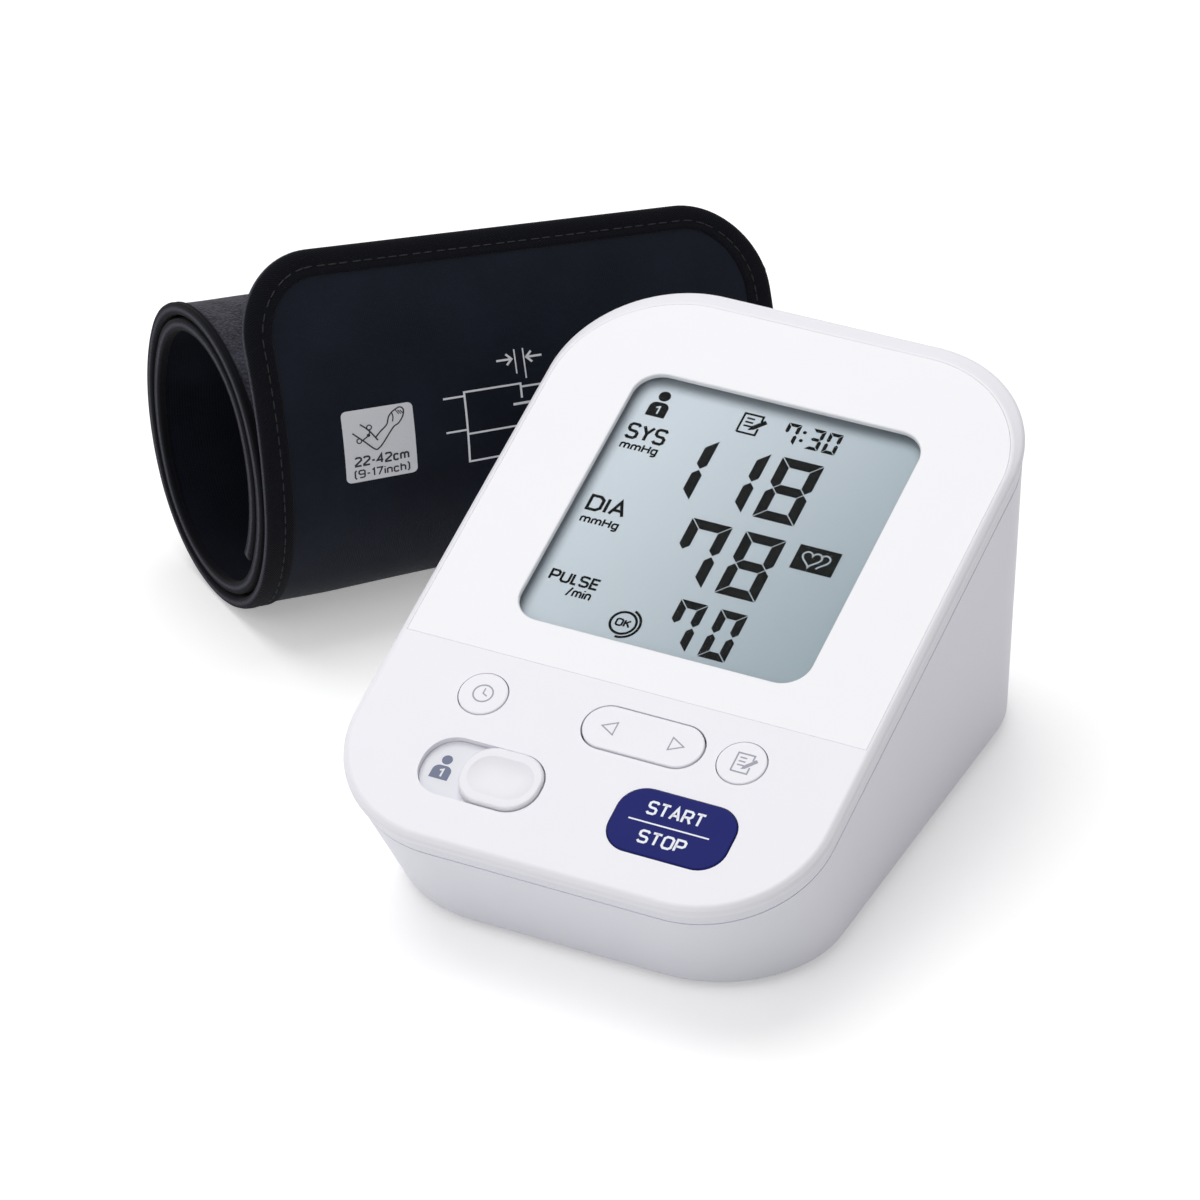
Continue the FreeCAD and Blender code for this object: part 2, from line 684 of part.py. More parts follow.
def key(width, length, radius, centre):
    """Key cap with a flange under the cover and a stem over its tact switch."""
    cap = pad(width, length, radius, -FLANGE_TOP, KEY_PROUD, centre)
    cap = cap.makeFillet(KEY_EDGE_RADIUS, edges_at(cap, KEY_PROUD))
    flange = pad(width + 2 * KEY_FLANGE, length + 2 * KEY_FLANGE, radius + KEY_FLANGE,
                 -FLANGE_TOP - KEY_FLANGE_THICKNESS, -FLANGE_TOP, centre)
    stem = rod(KEY_STEM_RADIUS, -SWITCH_TOP + KEY_TRAVEL + KEY_STEM_GAP, -FLANGE_TOP, centre)
    return on_face(fused([cap, flange, stem]))


def round_key(place):
    return key(KEY_DIAMETER, KEY_DIAMETER, KEY_DIAMETER / 2, place)


def start_stop_button():
    return key(START_WIDTH, START_LENGTH, START_RADIUS, START_PLACE)


def rocker_lugs():
    """Pair of lugs under the cover that hold the rocker's pin."""
    offset = ROCKER_LENGTH / 2 + ROCKER_GAP + LUG_MARGIN + LUG_THICKNESS / 2
    bottom = -ROCKER_PIVOT_DEPTH - LUG_WIDTH / 2
    return [block(LUG_WIDTH, LUG_THICKNESS, bottom, BOSS_ROOT - COVER_THICKNESS,
                  (ROCKER_PLACE, KEY_ROW_PLACE + side * offset)) for side in (-1, 1)]


def arrow_rocker():
    centre = (ROCKER_PLACE, KEY_ROW_PLACE)
    cap = pad(ROCKER_WIDTH, ROCKER_LENGTH, ROCKER_LENGTH / 2, KEY_PROUD - ROCKER_THICKNESS, KEY_PROUD, centre)
    cap = cap.makeFillet(KEY_EDGE_RADIUS, edges_at(cap, KEY_PROUD))
    boss = block(ROCKER_BOSS_WIDTH, ROCKER_LENGTH - 2 * ROCKER_BOSS_END_GAP,
                 -ROCKER_PIVOT_DEPTH - ROCKER_BOSS_WIDTH / 2, KEY_PROUD - ROCKER_THICKNESS, centre)
    stem_end = -SWITCH_TOP + KEY_TRAVEL
    stems = [rod(ROCKER_STEM_RADIUS, stem_end, KEY_PROUD - ROCKER_THICKNESS, place)
             for place in rocker_stem_places()]
    return on_face(fused([cap, boss] + stems).cut(rocker_pin_rod(ROCKER_PIN_PLAY)))


def rocker_pin():
    return on_face(rocker_pin_rod(0))


def tact_switches():
    switches = []
    for place in [clock_place(), memory_place(), START_PLACE] + rocker_stem_places():
        body = block(SWITCH_SIDE, SWITCH_SIDE, -BOARD_DEPTH, -BOARD_DEPTH + SWITCH_BODY, place)
        plunger = rod(SWITCH_PLUNGER_RADIUS, -BOARD_DEPTH + SWITCH_BODY, -SWITCH_TOP, place)
        switches.append(fused([body, plunger]))
    return on_face(Part.makeCompound(switches))


# User switch

def user_switch_plate():
    """Plate under the cover, raised in the slot; the knob hides its neck slot at rest."""
    width = SLOT_WIDTH + 2 * SLOT_PLATE_MARGIN
    length = SLOT_LENGTH + 2 * SLOT_PLATE_MARGIN
    base = pad(width, length, SLOT_RADIUS + SLOT_PLATE_MARGIN, -PLATE_UNDER, -COVER_THICKNESS, SLOT_PLACE)
    fit = SLOT_FLOOR_FIT
    floor = pad(SLOT_WIDTH - 2 * fit, SLOT_LENGTH - 2 * fit, SLOT_RADIUS - fit, -PLATE_UNDER, -SLOT_DEPTH,
                SLOT_PLACE)
    neck_slot = block(NECK_WIDTH + KNOB_TRAVEL + 2 * NECK_PLAY, NECK_WIDTH + 2 * NECK_PLAY,
                      -PLATE_UNDER - OVERRUN, 0, (KNOB_PLACE, SLOT_PLACE[1]))
    return on_face(fused([base, floor]).cut(neck_slot))


def knob_dish():
    """Finger dish of the knob: a lying rod with round ends."""
    half = KNOB_DISH_RUN / 2
    radius = KNOB_DISH_RADIUS
    slant = radius * math.sin(math.radians(45))
    left = [Vector(-half - radius, 0, 0), Vector(-half - slant, 0, slant), Vector(-half, 0, radius)]
    right = [Vector(-point.x, 0, point.z) for point in reversed(left)]
    edges = [Part.Arc(*left), Part.LineSegment(left[-1], right[0]), Part.Arc(*right),
             Part.LineSegment(right[-1], left[0])]
    profile = Part.Face(Part.Wire([edge.toShape() for edge in edges]))
    dish = profile.revolve(Vector(0, 0, 0), Vector(1, 0, 0), 360)
    dish.translate(Vector(KNOB_PLACE, SLOT_PLACE[1], KNOB_PROUD - KNOB_DISH_DEPTH + radius))
    return dish


def user_switch_knob():
    place = (KNOB_PLACE, SLOT_PLACE[1])
    floor = -SLOT_DEPTH + KNOB_FLOOR_GAP
    knob = pad(KNOB_WIDTH, KNOB_LENGTH, SLOT_RADIUS - KNOB_SIDE_GAP, floor, KNOB_PROUD, place)
    knob = knob.makeFillet(KNOB_EDGE_RADIUS, edges_at(knob, KNOB_PROUD))
    knob = knob.cut(knob_dish())
    neck = block(NECK_WIDTH, NECK_WIDTH, -CARRIER_UNDER, floor, (NECK_PLACE, SLOT_PLACE[1]))
    return on_face(fused([knob, neck]))


def user_switch_carrier():
    place = (NECK_PLACE, SLOT_PLACE[1])
    body = block(CARRIER_WIDTH, CARRIER_LENGTH, -CARRIER_UNDER, -CARRIER_TOP, place)
    body = body.cut(block(NECK_WIDTH + 2 * CARRIER_FIT, NECK_WIDTH + 2 * CARRIER_FIT, -BOARD_DEPTH, 0, place))
    tongue_place = (place[0], place[1] - CARRIER_LENGTH / 2 + TONGUE_WIDTH / 2)
    switch_top = -BOARD_DEPTH + SLIDE_SWITCH_HEIGHT
    tongue = block(TONGUE_WIDTH, TONGUE_WIDTH, switch_top - TONGUE_REACH, -CARRIER_UNDER, tongue_place)
    return on_face(fused([body, tongue]))


def slide_switch():
    tongue_line = SLOT_PLACE[1] - CARRIER_LENGTH / 2 + TONGUE_WIDTH / 2
    run = KNOB_TRAVEL + TONGUE_WIDTH + 2 * TONGUE_PLAY
    switch_top = -BOARD_DEPTH + SLIDE_SWITCH_HEIGHT
    body = block(run + 2 * SLIDE_SWITCH_MARGIN, SLIDE_SWITCH_LENGTH, -BOARD_DEPTH, switch_top,
                 (KNOB_PLACE, tongue_line))
    groove = block(run, TONGUE_WIDTH + 2 * TONGUE_PLAY, switch_top - TONGUE_REACH - TONGUE_PLAY, 0,
                   (KNOB_PLACE, tongue_line))
    return on_face(body.cut(groove))


# Battery bay, in the rear wall's frame

def bay_box(margin):
    bottom = HINGE_HEIGHT - HINGE_ROLL_RADIUS - DOOR_GAP - margin
    width = 2 * (BAY_HALF_WIDTH + margin)
    top = BAY_TOP + margin
    return block(width, top - bottom, -BAY_DEPTH - margin, OVERRUN, (0, (top + bottom) / 2))


def door_leaf(gap):
    """Plate from the hinge line up, with rounded upper corners, through the wall."""
    half = BAY_HALF_WIDTH - gap
    top = BAY_TOP - gap
    leaf = block(2 * half, top - HINGE_HEIGHT, -DOOR_THICKNESS, OVERRUN, (0, (top + HINGE_HEIGHT) / 2))

    def upper_corner(edge):
        middle = edge.CenterOfMass
        return abs(middle.y - top) < TOLERANCE and abs(abs(middle.x) - half) < TOLERANCE

    return leaf.makeFillet(DOOR_CORNER_RADIUS - gap, [edge for edge in leaf.Edges if upper_corner(edge)])


def bay_hollow():
    """Room for the cells behind the door, with a lower recess for the door's hinge roll."""
    width = 2 * BAY_HALF_WIDTH
    cells = block(width, BAY_TOP - BAY_SHELF, -BAY_DEPTH, -DOOR_THICKNESS, (0, (BAY_TOP + BAY_SHELF) / 2))
    low = HINGE_HEIGHT - HINGE_ROLL_RADIUS - DOOR_GAP
    recess = block(width, BAY_SHELF - low, -ROLL_RECESS, OVERRUN, (0, (BAY_SHELF + low) / 2))
    return fused([cells, door_leaf(0), recess])


def hinge_pins(play):
    half = BAY_HALF_WIDTH - DOOR_GAP + HINGE_PIN_LENGTH + play
    return along(rod(HINGE_PIN_RADIUS + play, -half, half), X_AXIS, (0, HINGE_HEIGHT, -HINGE_ROLL_RADIUS))


def thumb_notch():
    return along(Part.makeSphere(NOTCH_RADIUS), Rotation(), (0, BAY_TOP, NOTCH_RADIUS - NOTCH_DEPTH))


def battery_door():
    half = BAY_HALF_WIDTH - DOOR_GAP
    roll = along(rod(HINGE_ROLL_RADIUS, -half, half), X_AXIS, (0, HINGE_HEIGHT, -HINGE_ROLL_RADIUS))
    door = placed(door_leaf(DOOR_GAP).fuse(roll), REAR).common(case_volume(0, 0))
    door = door.cut(placed(thumb_notch(), REAR))
    return fused([door, placed(hinge_pins(0), REAR)])


def cell_places():
    """Middles of the four cells across the rear frame, as height and depth."""
    first_height = BAY_SHELF + CELL_GAP + CELL_RADIUS
    first_depth = -DOOR_THICKNESS - CELL_GAP - CELL_RADIUS
    step = 2 * CELL_RADIUS + CELL_GAP
    return [(first_height + row * step, first_depth - column * step) for row in (0, 1) for column in (0, 1)]


def battery_cell(index):
    height, depth = cell_places()[index]
    half = (CELL_LENGTH + CELL_NUB) / 2
    cell = fused([rod(CELL_RADIUS, -half, half - CELL_NUB), rod(CELL_NUB_RADIUS, half - CELL_NUB, half)])
    turn = X_AXIS if index % 2 else MINUS_X_AXIS
    return placed(along(cell, turn, (0, height, depth)), REAR)


def battery_contacts():
    contacts = []
    half = (CELL_LENGTH + CELL_NUB) / 2
    for height, depth in cell_places():
        for side, turn in ((-1, MINUS_X_AXIS), (1, X_AXIS)):
            leaf = block(CONTACT_WIDTH, CONTACT_WIDTH, BAY_HALF_WIDTH - CONTACT_THICKNESS, BAY_HALF_WIDTH)
            bump = Part.makeCone(CONTACT_BUMP_RADIUS / 2, CONTACT_BUMP_RADIUS, BAY_HALF_WIDTH - half,
                                 Vector(0, 0, half))
            contacts.append(placed(along(fused([leaf, bump]), turn, (0, height, depth)), REAR))
    return Part.makeCompound(contacts)


# Air pump, drawn along its own axis from the outlet towards the motor's tail

def pump_axis(shape):
    return along(shape, X_AXIS, (PUMP_HEAD_START, PUMP_PLACE[0], PUMP_PLACE[1]))


DIAPHRAGM_START = PUMP_HEAD_LENGTH
HOUSING_START = DIAPHRAGM_START + DIAPHRAGM_THICKNESS
MOTOR_START = HOUSING_START + HOUSING_LENGTH
MOTOR_END = MOTOR_START + MOTOR_LENGTH
CRANK_START = MOTOR_START - HOUSING_WALL - SHAFT_PLAY * 2 - CRANK_THICKNESS


def pump_head():
    body = rod(PUMP_HEAD_RADIUS, 0, PUMP_HEAD_LENGTH)
    chamber = rod(PUMP_HEAD_RADIUS - HOUSING_WALL, PUMP_HEAD_LENGTH / 2, PUMP_HEAD_LENGTH)
    body = body.cut(chamber)
    nipple = rod(NIPPLE_RADIUS, -PUMP_NIPPLE, 0)
    hub = rod(DIAPHRAGM_CUP_RADIUS, PUMP_HEAD_LENGTH / 2, PUMP_HEAD_LENGTH)
    body = fused([body, nipple, hub])
    return pump_axis(body.cut(rod(NIPPLE_BORE, -PUMP_NIPPLE - OVERRUN, PUMP_HEAD_LENGTH + OVERRUN)))


def pump_diaphragm():
    disc = rod(PUMP_HEAD_RADIUS, DIAPHRAGM_START, HOUSING_START)
    cups = []
    for index in range(DIAPHRAGM_CUPS):
        turn = math.radians(90 + index * 360 / DIAPHRAGM_CUPS)
        place = (DIAPHRAGM_CUP_SPREAD * math.cos(turn), DIAPHRAGM_CUP_SPREAD * math.sin(turn))
        cups.append(rod(DIAPHRAGM_CUP_RADIUS, HOUSING_START, HOUSING_START + DIAPHRAGM_CUP_DEPTH, place))
    return pump_axis(fused([disc] + cups))


def pump_drive_plate():
    low = HOUSING_START + DIAPHRAGM_CUP_DEPTH
    return pump_axis(pipe(DRIVE_PLATE_RADIUS, DRIVE_PLATE_HOLE, low, low + DRIVE_PLATE_THICKNESS))


def pump_housing():
    body = rod(PUMP_HEAD_RADIUS, HOUSING_START, MOTOR_START)
    hollow = rod(PUMP_HEAD_RADIUS - HOUSING_WALL, HOUSING_START, MOTOR_START - HOUSING_WALL)
    bore = rod(SHAFT_RADIUS + SHAFT_PLAY, HOUSING_START, MOTOR_START + OVERRUN)
    return pump_axis(body.cut(hollow).cut(bore))


def motor_can():
    can = rod(MOTOR_RADIUS, MOTOR_START, MOTOR_END)
    can = can.cut(rod(MOTOR_RADIUS - MOTOR_WALL, MOTOR_START + MOTOR_WALL, MOTOR_END))
    return pump_axis(can.cut(rod(SHAFT_RADIUS + SHAFT_PLAY, MOTOR_START - OVERRUN, MOTOR_END)))


def motor_end_cap():
    cap = rod(MOTOR_RADIUS, MOTOR_END, MOTOR_END + END_CAP_THICKNESS)
    return pump_axis(cap.cut(rod(SHAFT_RADIUS + SHAFT_PLAY, MOTOR_END - OVERRUN,
                                 MOTOR_END + END_CAP_THICKNESS / 2)))


def motor_magnets():
    outer = MOTOR_RADIUS - MOTOR_WALL
    low = MOTOR_START + (MOTOR_LENGTH - ROTOR_LENGTH) / 2
    magnets = []
    for start in (0, 180):
        sector = Part.makeCylinder(outer, ROTOR_LENGTH, Vector(0, 0, low), Vector(0, 0, 1), MAGNET_SPAN)
        sector = sector.cut(rod(outer - MAGNET_THICKNESS, low - OVERRUN, low + ROTOR_LENGTH + OVERRUN))
        sector.rotate(Vector(0, 0, 0), Vector(0, 0, 1), start + (180 - MAGNET_SPAN) / 2)
        magnets.append(sector)
    return pump_axis(Part.makeCompound(magnets))


def motor_rotor():
    radius = MOTOR_RADIUS - MOTOR_WALL - MAGNET_THICKNESS - ROTOR_GAP
    low = MOTOR_START + (MOTOR_LENGTH - ROTOR_LENGTH) / 2
    return pump_axis(pipe(radius, SHAFT_RADIUS, low, low + ROTOR_LENGTH))


def motor_shaft():
    """Shaft with the crank disc and its offset pin inside the pump housing."""
    shaft = rod(SHAFT_RADIUS, CRANK_START, MOTOR_END + END_CAP_THICKNESS / 2 - SHAFT_PLAY)
    crank = rod(CRANK_RADIUS, CRANK_START, CRANK_START + CRANK_THICKNESS)
    pin = rod(CRANK_PIN_RADIUS, CRANK_START - CRANK_PIN_LENGTH, CRANK_START, (CRANK_THROW, 0))
    return pump_axis(fused([shaft, crank, pin]))


def pump_cradle():
    """Soft saddle that carries the motor on the case floor."""
    y, z = PUMP_PLACE
    middle = PUMP_HEAD_START + (MOTOR_START + MOTOR_END) / 2
    saddle = block(CRADLE_LENGTH, CRADLE_WIDTH, WALL, z - MOTOR_RADIUS / 2, (middle, y))
    return saddle.cut(pump_axis(rod(MOTOR_RADIUS + CRADLE_FIT, MOTOR_START - OVERRUN, MOTOR_END + OVERRUN)))


# Air path

def nipple_pair(rotation, point, start):
    """Outside and bore of a hose nipple that leaves a block along an axis."""
    outside = along(rod(NIPPLE_RADIUS, 0, start + NIPPLE_LENGTH), rotation, point)
    bore = along(rod(NIPPLE_BORE, 0, start + NIPPLE_LENGTH + OVERRUN), rotation, point)
    return outside, bore


def manifold_point():
    return (MANIFOLD_PLACE, PUMP_PLACE[0], PUMP_PLACE[1])


def air_manifold():
    half = MANIFOLD_SIDE / 2
    x, y, z = manifold_point()
    body = block(MANIFOLD_SIDE, MANIFOLD_SIDE, z - half, z + half, (x, y))
    outsides = []
    bores = []
    for rotation in (X_AXIS, MINUS_X_AXIS, MINUS_Y_AXIS, Rotation()):
        outside, bore = nipple_pair(rotation, manifold_point(), half)
        outsides.append(outside)
        bores.append(bore)
    return fused([body] + outsides).cut(Part.makeCompound(bores))


def straight_tube(rotation, start, length):
    return along(pipe(TUBE_RADIUS, TUBE_BORE, 0, length), rotation, start)


def pump_tube():
    start = MANIFOLD_PLACE + MANIFOLD_SIDE / 2 + TUBE_END_GAP
    length = PUMP_HEAD_START - TUBE_END_GAP - start
    return straight_tube(X_AXIS, (start, PUMP_PLACE[0], PUMP_PLACE[1]), length)


def jack_end():
    return -side_wall(PUMP_PLACE[0], PUMP_PLACE[1]) + JACK_BORE_DEPTH + JACK_FLOOR


def jack_tube():
    start = jack_end() + TUBE_END_GAP
    length = MANIFOLD_PLACE - MANIFOLD_SIDE / 2 - TUBE_END_GAP - start
    return straight_tube(X_AXIS, (start, PUMP_PLACE[0], PUMP_PLACE[1]), length)


def valve_start():
    """Y of the valve's nozzle face."""
    return PUMP_PLACE[0] - MANIFOLD_SIDE / 2 - VALVE_TUBE_LENGTH


def valve_tube():
    start = PUMP_PLACE[0] - MANIFOLD_SIDE / 2 - TUBE_END_GAP
    length = VALVE_TUBE_LENGTH - 2 * TUBE_END_GAP
    return straight_tube(MINUS_Y_AXIS, (MANIFOLD_PLACE, start, PUMP_PLACE[1]), length)


def sensor_bend():
    """Point where the sensor tube's two straight runs would meet."""
    x, y, z = manifold_point()
    return Vector(x, y, z + SENSOR_RISE)


def sensor_place():
    """Face coordinates of the sensor, in line with the tube's upper run."""
    local = FACE.inverse().multVec(sensor_bend())
    return (local.x, local.y)


def sensor_tube():
    bend = sensor_bend()
    upward = Vector(0, 0, 1)
    inward = FACE.Rotation.multVec(upward)
    tangent = SENSOR_BEND_RADIUS * math.tan(math.radians(FACE_TILT / 2))
    start = Vector(bend.x, bend.y, PUMP_PLACE[1] + MANIFOLD_SIDE / 2 + TUBE_END_GAP)
    depth = FACE.inverse().multVec(bend).z
    end = bend + inward * (-depth - BOARD_UNDER - SENSOR_HEIGHT - TUBE_END_GAP)
    bend_start = bend - upward * tangent
    bend_end = bend + inward * tangent
    to_centre = (inward - upward * upward.dot(inward)).normalize()
    centre = bend_start + to_centre * SENSOR_BEND_RADIUS
    bend_middle = centre + (bend - centre).normalize() * SENSOR_BEND_RADIUS
    path = Part.Wire([Part.LineSegment(start, bend_start).toShape(),
                      Part.Arc(bend_start, bend_middle, bend_end).toShape(),
                      Part.LineSegment(bend_end, end).toShape()])
    shapes = []
    for radius in (TUBE_RADIUS, TUBE_BORE):
        ring = Part.Wire(Part.makeCircle(radius, start, upward))
        shapes.append(path.makePipeShell([ring], True, False))
    return shapes[0].cut(shapes[1])


def pressure_sensor():
    place = sensor_place()
    low = -BOARD_UNDER - SENSOR_HEIGHT
    body = block(SENSOR_WIDTH, SENSOR_LENGTH, low, -BOARD_UNDER, place)
    nipple = rod(NIPPLE_RADIUS, low - NIPPLE_LENGTH, low, place)
    return on_face(fused([body, nipple]).cut(rod(NIPPLE_BORE, low - NIPPLE_LENGTH - OVERRUN, low, place)))


def fitting_flange(y, z, radius):
    """X of a wall fitting's outer face, proud of the leaning wall all round its flange."""
    return -side_wall(y, z + radius) - JACK_PROUD


def wall_fitting(y, z, flange_radius, barrel_radius, end):
    """Flanged barrel through the left wall, ending at an inner x."""
    outer = fitting_flange(y, z, flange_radius)
    flange = along(rod(flange_radius, 0, JACK_PROUD + JACK_FLANGE), X_AXIS, (outer, y, z))
    barrel = along(rod(barrel_radius, 0, end - outer), X_AXIS, (outer, y, z))
    return flange.fuse(barrel)


def air_jack():
    y, z = PUMP_PLACE
    end = jack_end()
    body = wall_fitting(y, z, JACK_FLANGE_RADIUS, JACK_BARREL_RADIUS, end)
    nipple, passage = nipple_pair(X_AXIS, (end - JACK_FLOOR, y, z), JACK_FLOOR)
    bore = along(rod(JACK_BORE_RADIUS, -CASE_WIDTH, 0), X_AXIS, (end - JACK_FLOOR, y, z))
    return fused([body, nipple]).cut(bore).cut(passage)


def power_inlet():
    y, z = INLET_PLACE
    floor = -side_wall(y, z) + INLET_DEPTH
    body = wall_fitting(y, z, INLET_FLANGE_RADIUS, INLET_BARREL_RADIUS, floor + INLET_FLOOR)
    bore = along(rod(INLET_BORE_RADIUS, -CASE_WIDTH, 0), X_AXIS, (floor, y, z))
    pin = along(rod(INLET_PIN_RADIUS, -INLET_DEPTH, 0), X_AXIS, (floor, y, z))
    return fused([body.cut(bore), pin])


def wall_fitting_cuts():
    """Holes in the left wall for the two fittings."""
    cuts = []
    for place, flange, barrel in ((PUMP_PLACE, JACK_FLANGE_RADIUS, JACK_BARREL_RADIUS),
                                  (INLET_PLACE, INLET_FLANGE_RADIUS, INLET_BARREL_RADIUS)):
        y, z = place
        cuts.append(wall_fitting(y, z, flange + JACK_FIT, barrel + JACK_FIT, MANIFOLD_PLACE))
    return cuts


# Exhaust valve, drawn along its own axis from the nozzle towards the front

def valve_axis(shape):
    return along(shape, MINUS_Y_AXIS, (MANIFOLD_PLACE, valve_start(), PUMP_PLACE[1]))


VALVE_CHAMBER = VALVE_YOKE_THICKNESS + VALVE_STROKE + VALVE_HEAD + VALVE_STROKE
VALVE_COIL_END = VALVE_CHAMBER + VALVE_COIL_LENGTH


def valve_yoke():
    """Metal bracket round the coil, with the nozzle in its first plate and a foot on the case floor."""
    end = VALVE_COIL_END + VALVE_YOKE_THICKNESS
    outer = block(VALVE_YOKE_WIDTH + 2 * VALVE_YOKE_THICKNESS, VALVE_YOKE_WIDTH, 0, end)
    inner = block(VALVE_YOKE_WIDTH, VALVE_YOKE_WIDTH + OVERRUN, VALVE_YOKE_THICKNESS, VALVE_COIL_END)
    yoke = outer.cut(inner)
    tail_hole = rod(VALVE_PLUNGER_RADIUS + VALVE_SPRING_WIRE, VALVE_COIL_END - OVERRUN, end + OVERRUN)
    nozzle = rod(NIPPLE_RADIUS, -NIPPLE_LENGTH, VALVE_YOKE_THICKNESS)
    yoke = fused([yoke.cut(tail_hole), nozzle]).cut(rod(NIPPLE_BORE, -NIPPLE_LENGTH - OVERRUN, VALVE_CHAMBER))
    yoke = valve_axis(yoke)
    stand_top = PUMP_PLACE[1] - VALVE_YOKE_WIDTH / 2
    stand = block(VALVE_STAND_WIDTH, VALVE_YOKE_THICKNESS, WALL, stand_top,
                  (MANIFOLD_PLACE, valve_start() - end + VALVE_YOKE_THICKNESS / 2))
    return fused([yoke, stand])


def valve_coil():
    return valve_axis(pipe(VALVE_COIL_RADIUS, VALVE_BORE_RADIUS, VALVE_CHAMBER, VALVE_COIL_END))


def valve_plunger():
    head_start = VALVE_YOKE_THICKNESS + VALVE_STROKE
    head = rod(VALVE_HEAD_RADIUS, head_start, head_start + VALVE_HEAD)
    tail_end = VALVE_COIL_END + VALVE_PLUNGER_TAIL
    stem = rod(VALVE_PLUNGER_RADIUS, head_start + VALVE_HEAD, tail_end)
    flange = rod(VALVE_HEAD_RADIUS, tail_end - VALVE_TAIL_FLANGE, tail_end)
    return valve_axis(fused([head, stem, flange]))


def valve_spring():
    """Sleeve in the room of the return spring, between the yoke's far plate and the plunger's tail flange."""
    start = VALVE_COIL_END + VALVE_YOKE_THICKNESS
    end = VALVE_COIL_END + VALVE_PLUNGER_TAIL - VALVE_TAIL_FLANGE
    half_wire = VALVE_SPRING_WIRE / 2
    return valve_axis(pipe(VALVE_SPRING_RADIUS + half_wire, VALVE_SPRING_RADIUS - half_wire, start, end))


# Arm cuff: one spiral of tangent arcs, from the flap's free end inwards.
# The roll gets smaller towards its far end, as an arm does, and its ends are slanted.

def outward(heading):
    turn = math.radians(heading)
    return Vector(-math.sin(turn), math.cos(turn), 0)


def cuff_arcs():
    """Arcs of the roll as centre, radius and start and end headings; x is towards the flap, y is up."""
    side_half = CUFF_SIDE_SWEEP / 2
    end_sweep = 180 - CUFF_SIDE_SWEEP
    step = CUFF_PITCH / 4
    lean = math.sin(math.radians(side_half))
    first_end = CUFF_END_RADIUS - step
    front_height = lean * (CUFF_SIDE_RADIUS - first_end) + first_end + CUFF_HALF_THICKNESS
    front_reach = (CUFF_SIDE_RADIUS - CUFF_END_RADIUS) * math.cos(math.radians(side_half))
    side_centre = Vector(-front_reach, front_height, 0)
    flap_centre = side_centre + outward(-90) * (CUFF_SIDE_RADIUS - CUFF_FLAP_RADIUS)
    arcs = [(flap_centre, CUFF_FLAP_RADIUS, -90 + CUFF_FLAP_SWEEP + CUFF_FLAP_SPARE, -90)]
    arcs.append((side_centre, CUFF_SIDE_RADIUS, -90, -90 - side_half))
    for index in range(1, CUFF_ARCS + 1):
        centre, radius, start, end = arcs[-1]
        base = CUFF_END_RADIUS if index % 2 else CUFF_SIDE_RADIUS
        sweep = end_sweep if index % 2 else CUFF_SIDE_SWEEP
        following = base - index * step
        arcs.append((centre + outward(end) * (radius - following), following, end, end - sweep))
    return arcs


def part_of_arc(arc, from_share, to_share):
    centre, radius, start, end = arc
    return (centre, radius, start + (end - start) * from_share, start + (end - start) * to_share)


def roll_size(place):
    """Size of the roll at a place along it, as a share of its near end's."""
    return 1 - (1 - CUFF_FAR_SHARE) * place / CUFF_WIDTH


def roll_section(place):
    """Map from the drawn section, x to the flap and y up, to the slanted section at a place on the roll."""
    size = roll_size(place)
    return FreeCAD.Matrix(CUFF_SLANT_SHARE * size, 0, 1, place, -size, 0, 0, 0, 0, size, 0, 0, 0, 0, 0, 1)


def roll_point(flat, place):
    return roll_section(place).multVec(flat)


def band_outline(arcs, low, high, place):
    """Outline of a layer between two offsets from the roll's middle line, at a place along the roll."""
    def point(centre, reach, heading):
        return centre + outward(heading) * reach

    rows = []
    for offset in (high, low):
        row = []
        for centre, radius, start, end in arcs:
            reach = radius + offset
            row.append(Part.Arc(point(centre, reach, start), point(centre, reach, (start + end) / 2),
                                point(centre, reach, end)).toShape())
        rows.append(row)
    first, last = arcs[0], arcs[-1]
    caps = [Part.LineSegment(point(a[0], a[1] + high, a[end]), point(a[0], a[1] + low, a[end])).toShape()
            for a, end in ((first, 2), (last, 3))]
    edges = rows[0] + [caps[1]] + rows[1][::-1] + [caps[0]]
    return Part.Wire(Part.__sortEdges__(edges)).transformGeometry(roll_section(place))


def band(arcs, low, high, left, right):
    """Layer of the roll between two offsets from its middle line, and between two places along the roll."""
    return Part.makeLoft([band_outline(arcs, low, high, place) for place in (left, right)], True, True)


ROLL = cuff_arcs()
FLAP_ARC = ROLL[0]
FLAP_SLOPE = math.tan(math.radians(CUFF_FLAP_SKEW))
FLAP_TOP = FLAP_ARC[0].y + FLAP_ARC[1] * math.sin(math.radians(CUFF_FLAP_SWEEP))


def flap_cutter(inset):
    """Prism with the flap's slanted free end and rounded corners, through the flap from front to back."""
    left, right = inset, CUFF_WIDTH - inset
    low = FLAP_ARC[0].y - 2 * CUFF_FLAP_CORNER
    top = FLAP_TOP - inset / math.cos(math.radians(CUFF_FLAP_SKEW))
    corners = [Vector(left, 0, low), Vector(right, 0, low), Vector(right, 0, top - FLAP_SLOPE * right),
               Vector(left, 0, top - FLAP_SLOPE * left)]
    profile = Part.Face(Part.makePolygon(corners + corners[:1]))
    prism = profile.extrude(Vector(CUFF_SLANT_SHARE, -1, 0) * CUFF_FLAP_RADIUS)

    def upper_corner(edge):
        first, last = edge.Vertexes[0].Point, edge.Vertexes[-1].Point
        return abs(first.y - last.y) > TOLERANCE and first.z > FLAP_ARC[0].y

    return prism.makeFillet(CUFF_FLAP_CORNER - inset, [edge for edge in prism.Edges if upper_corner(edge)])


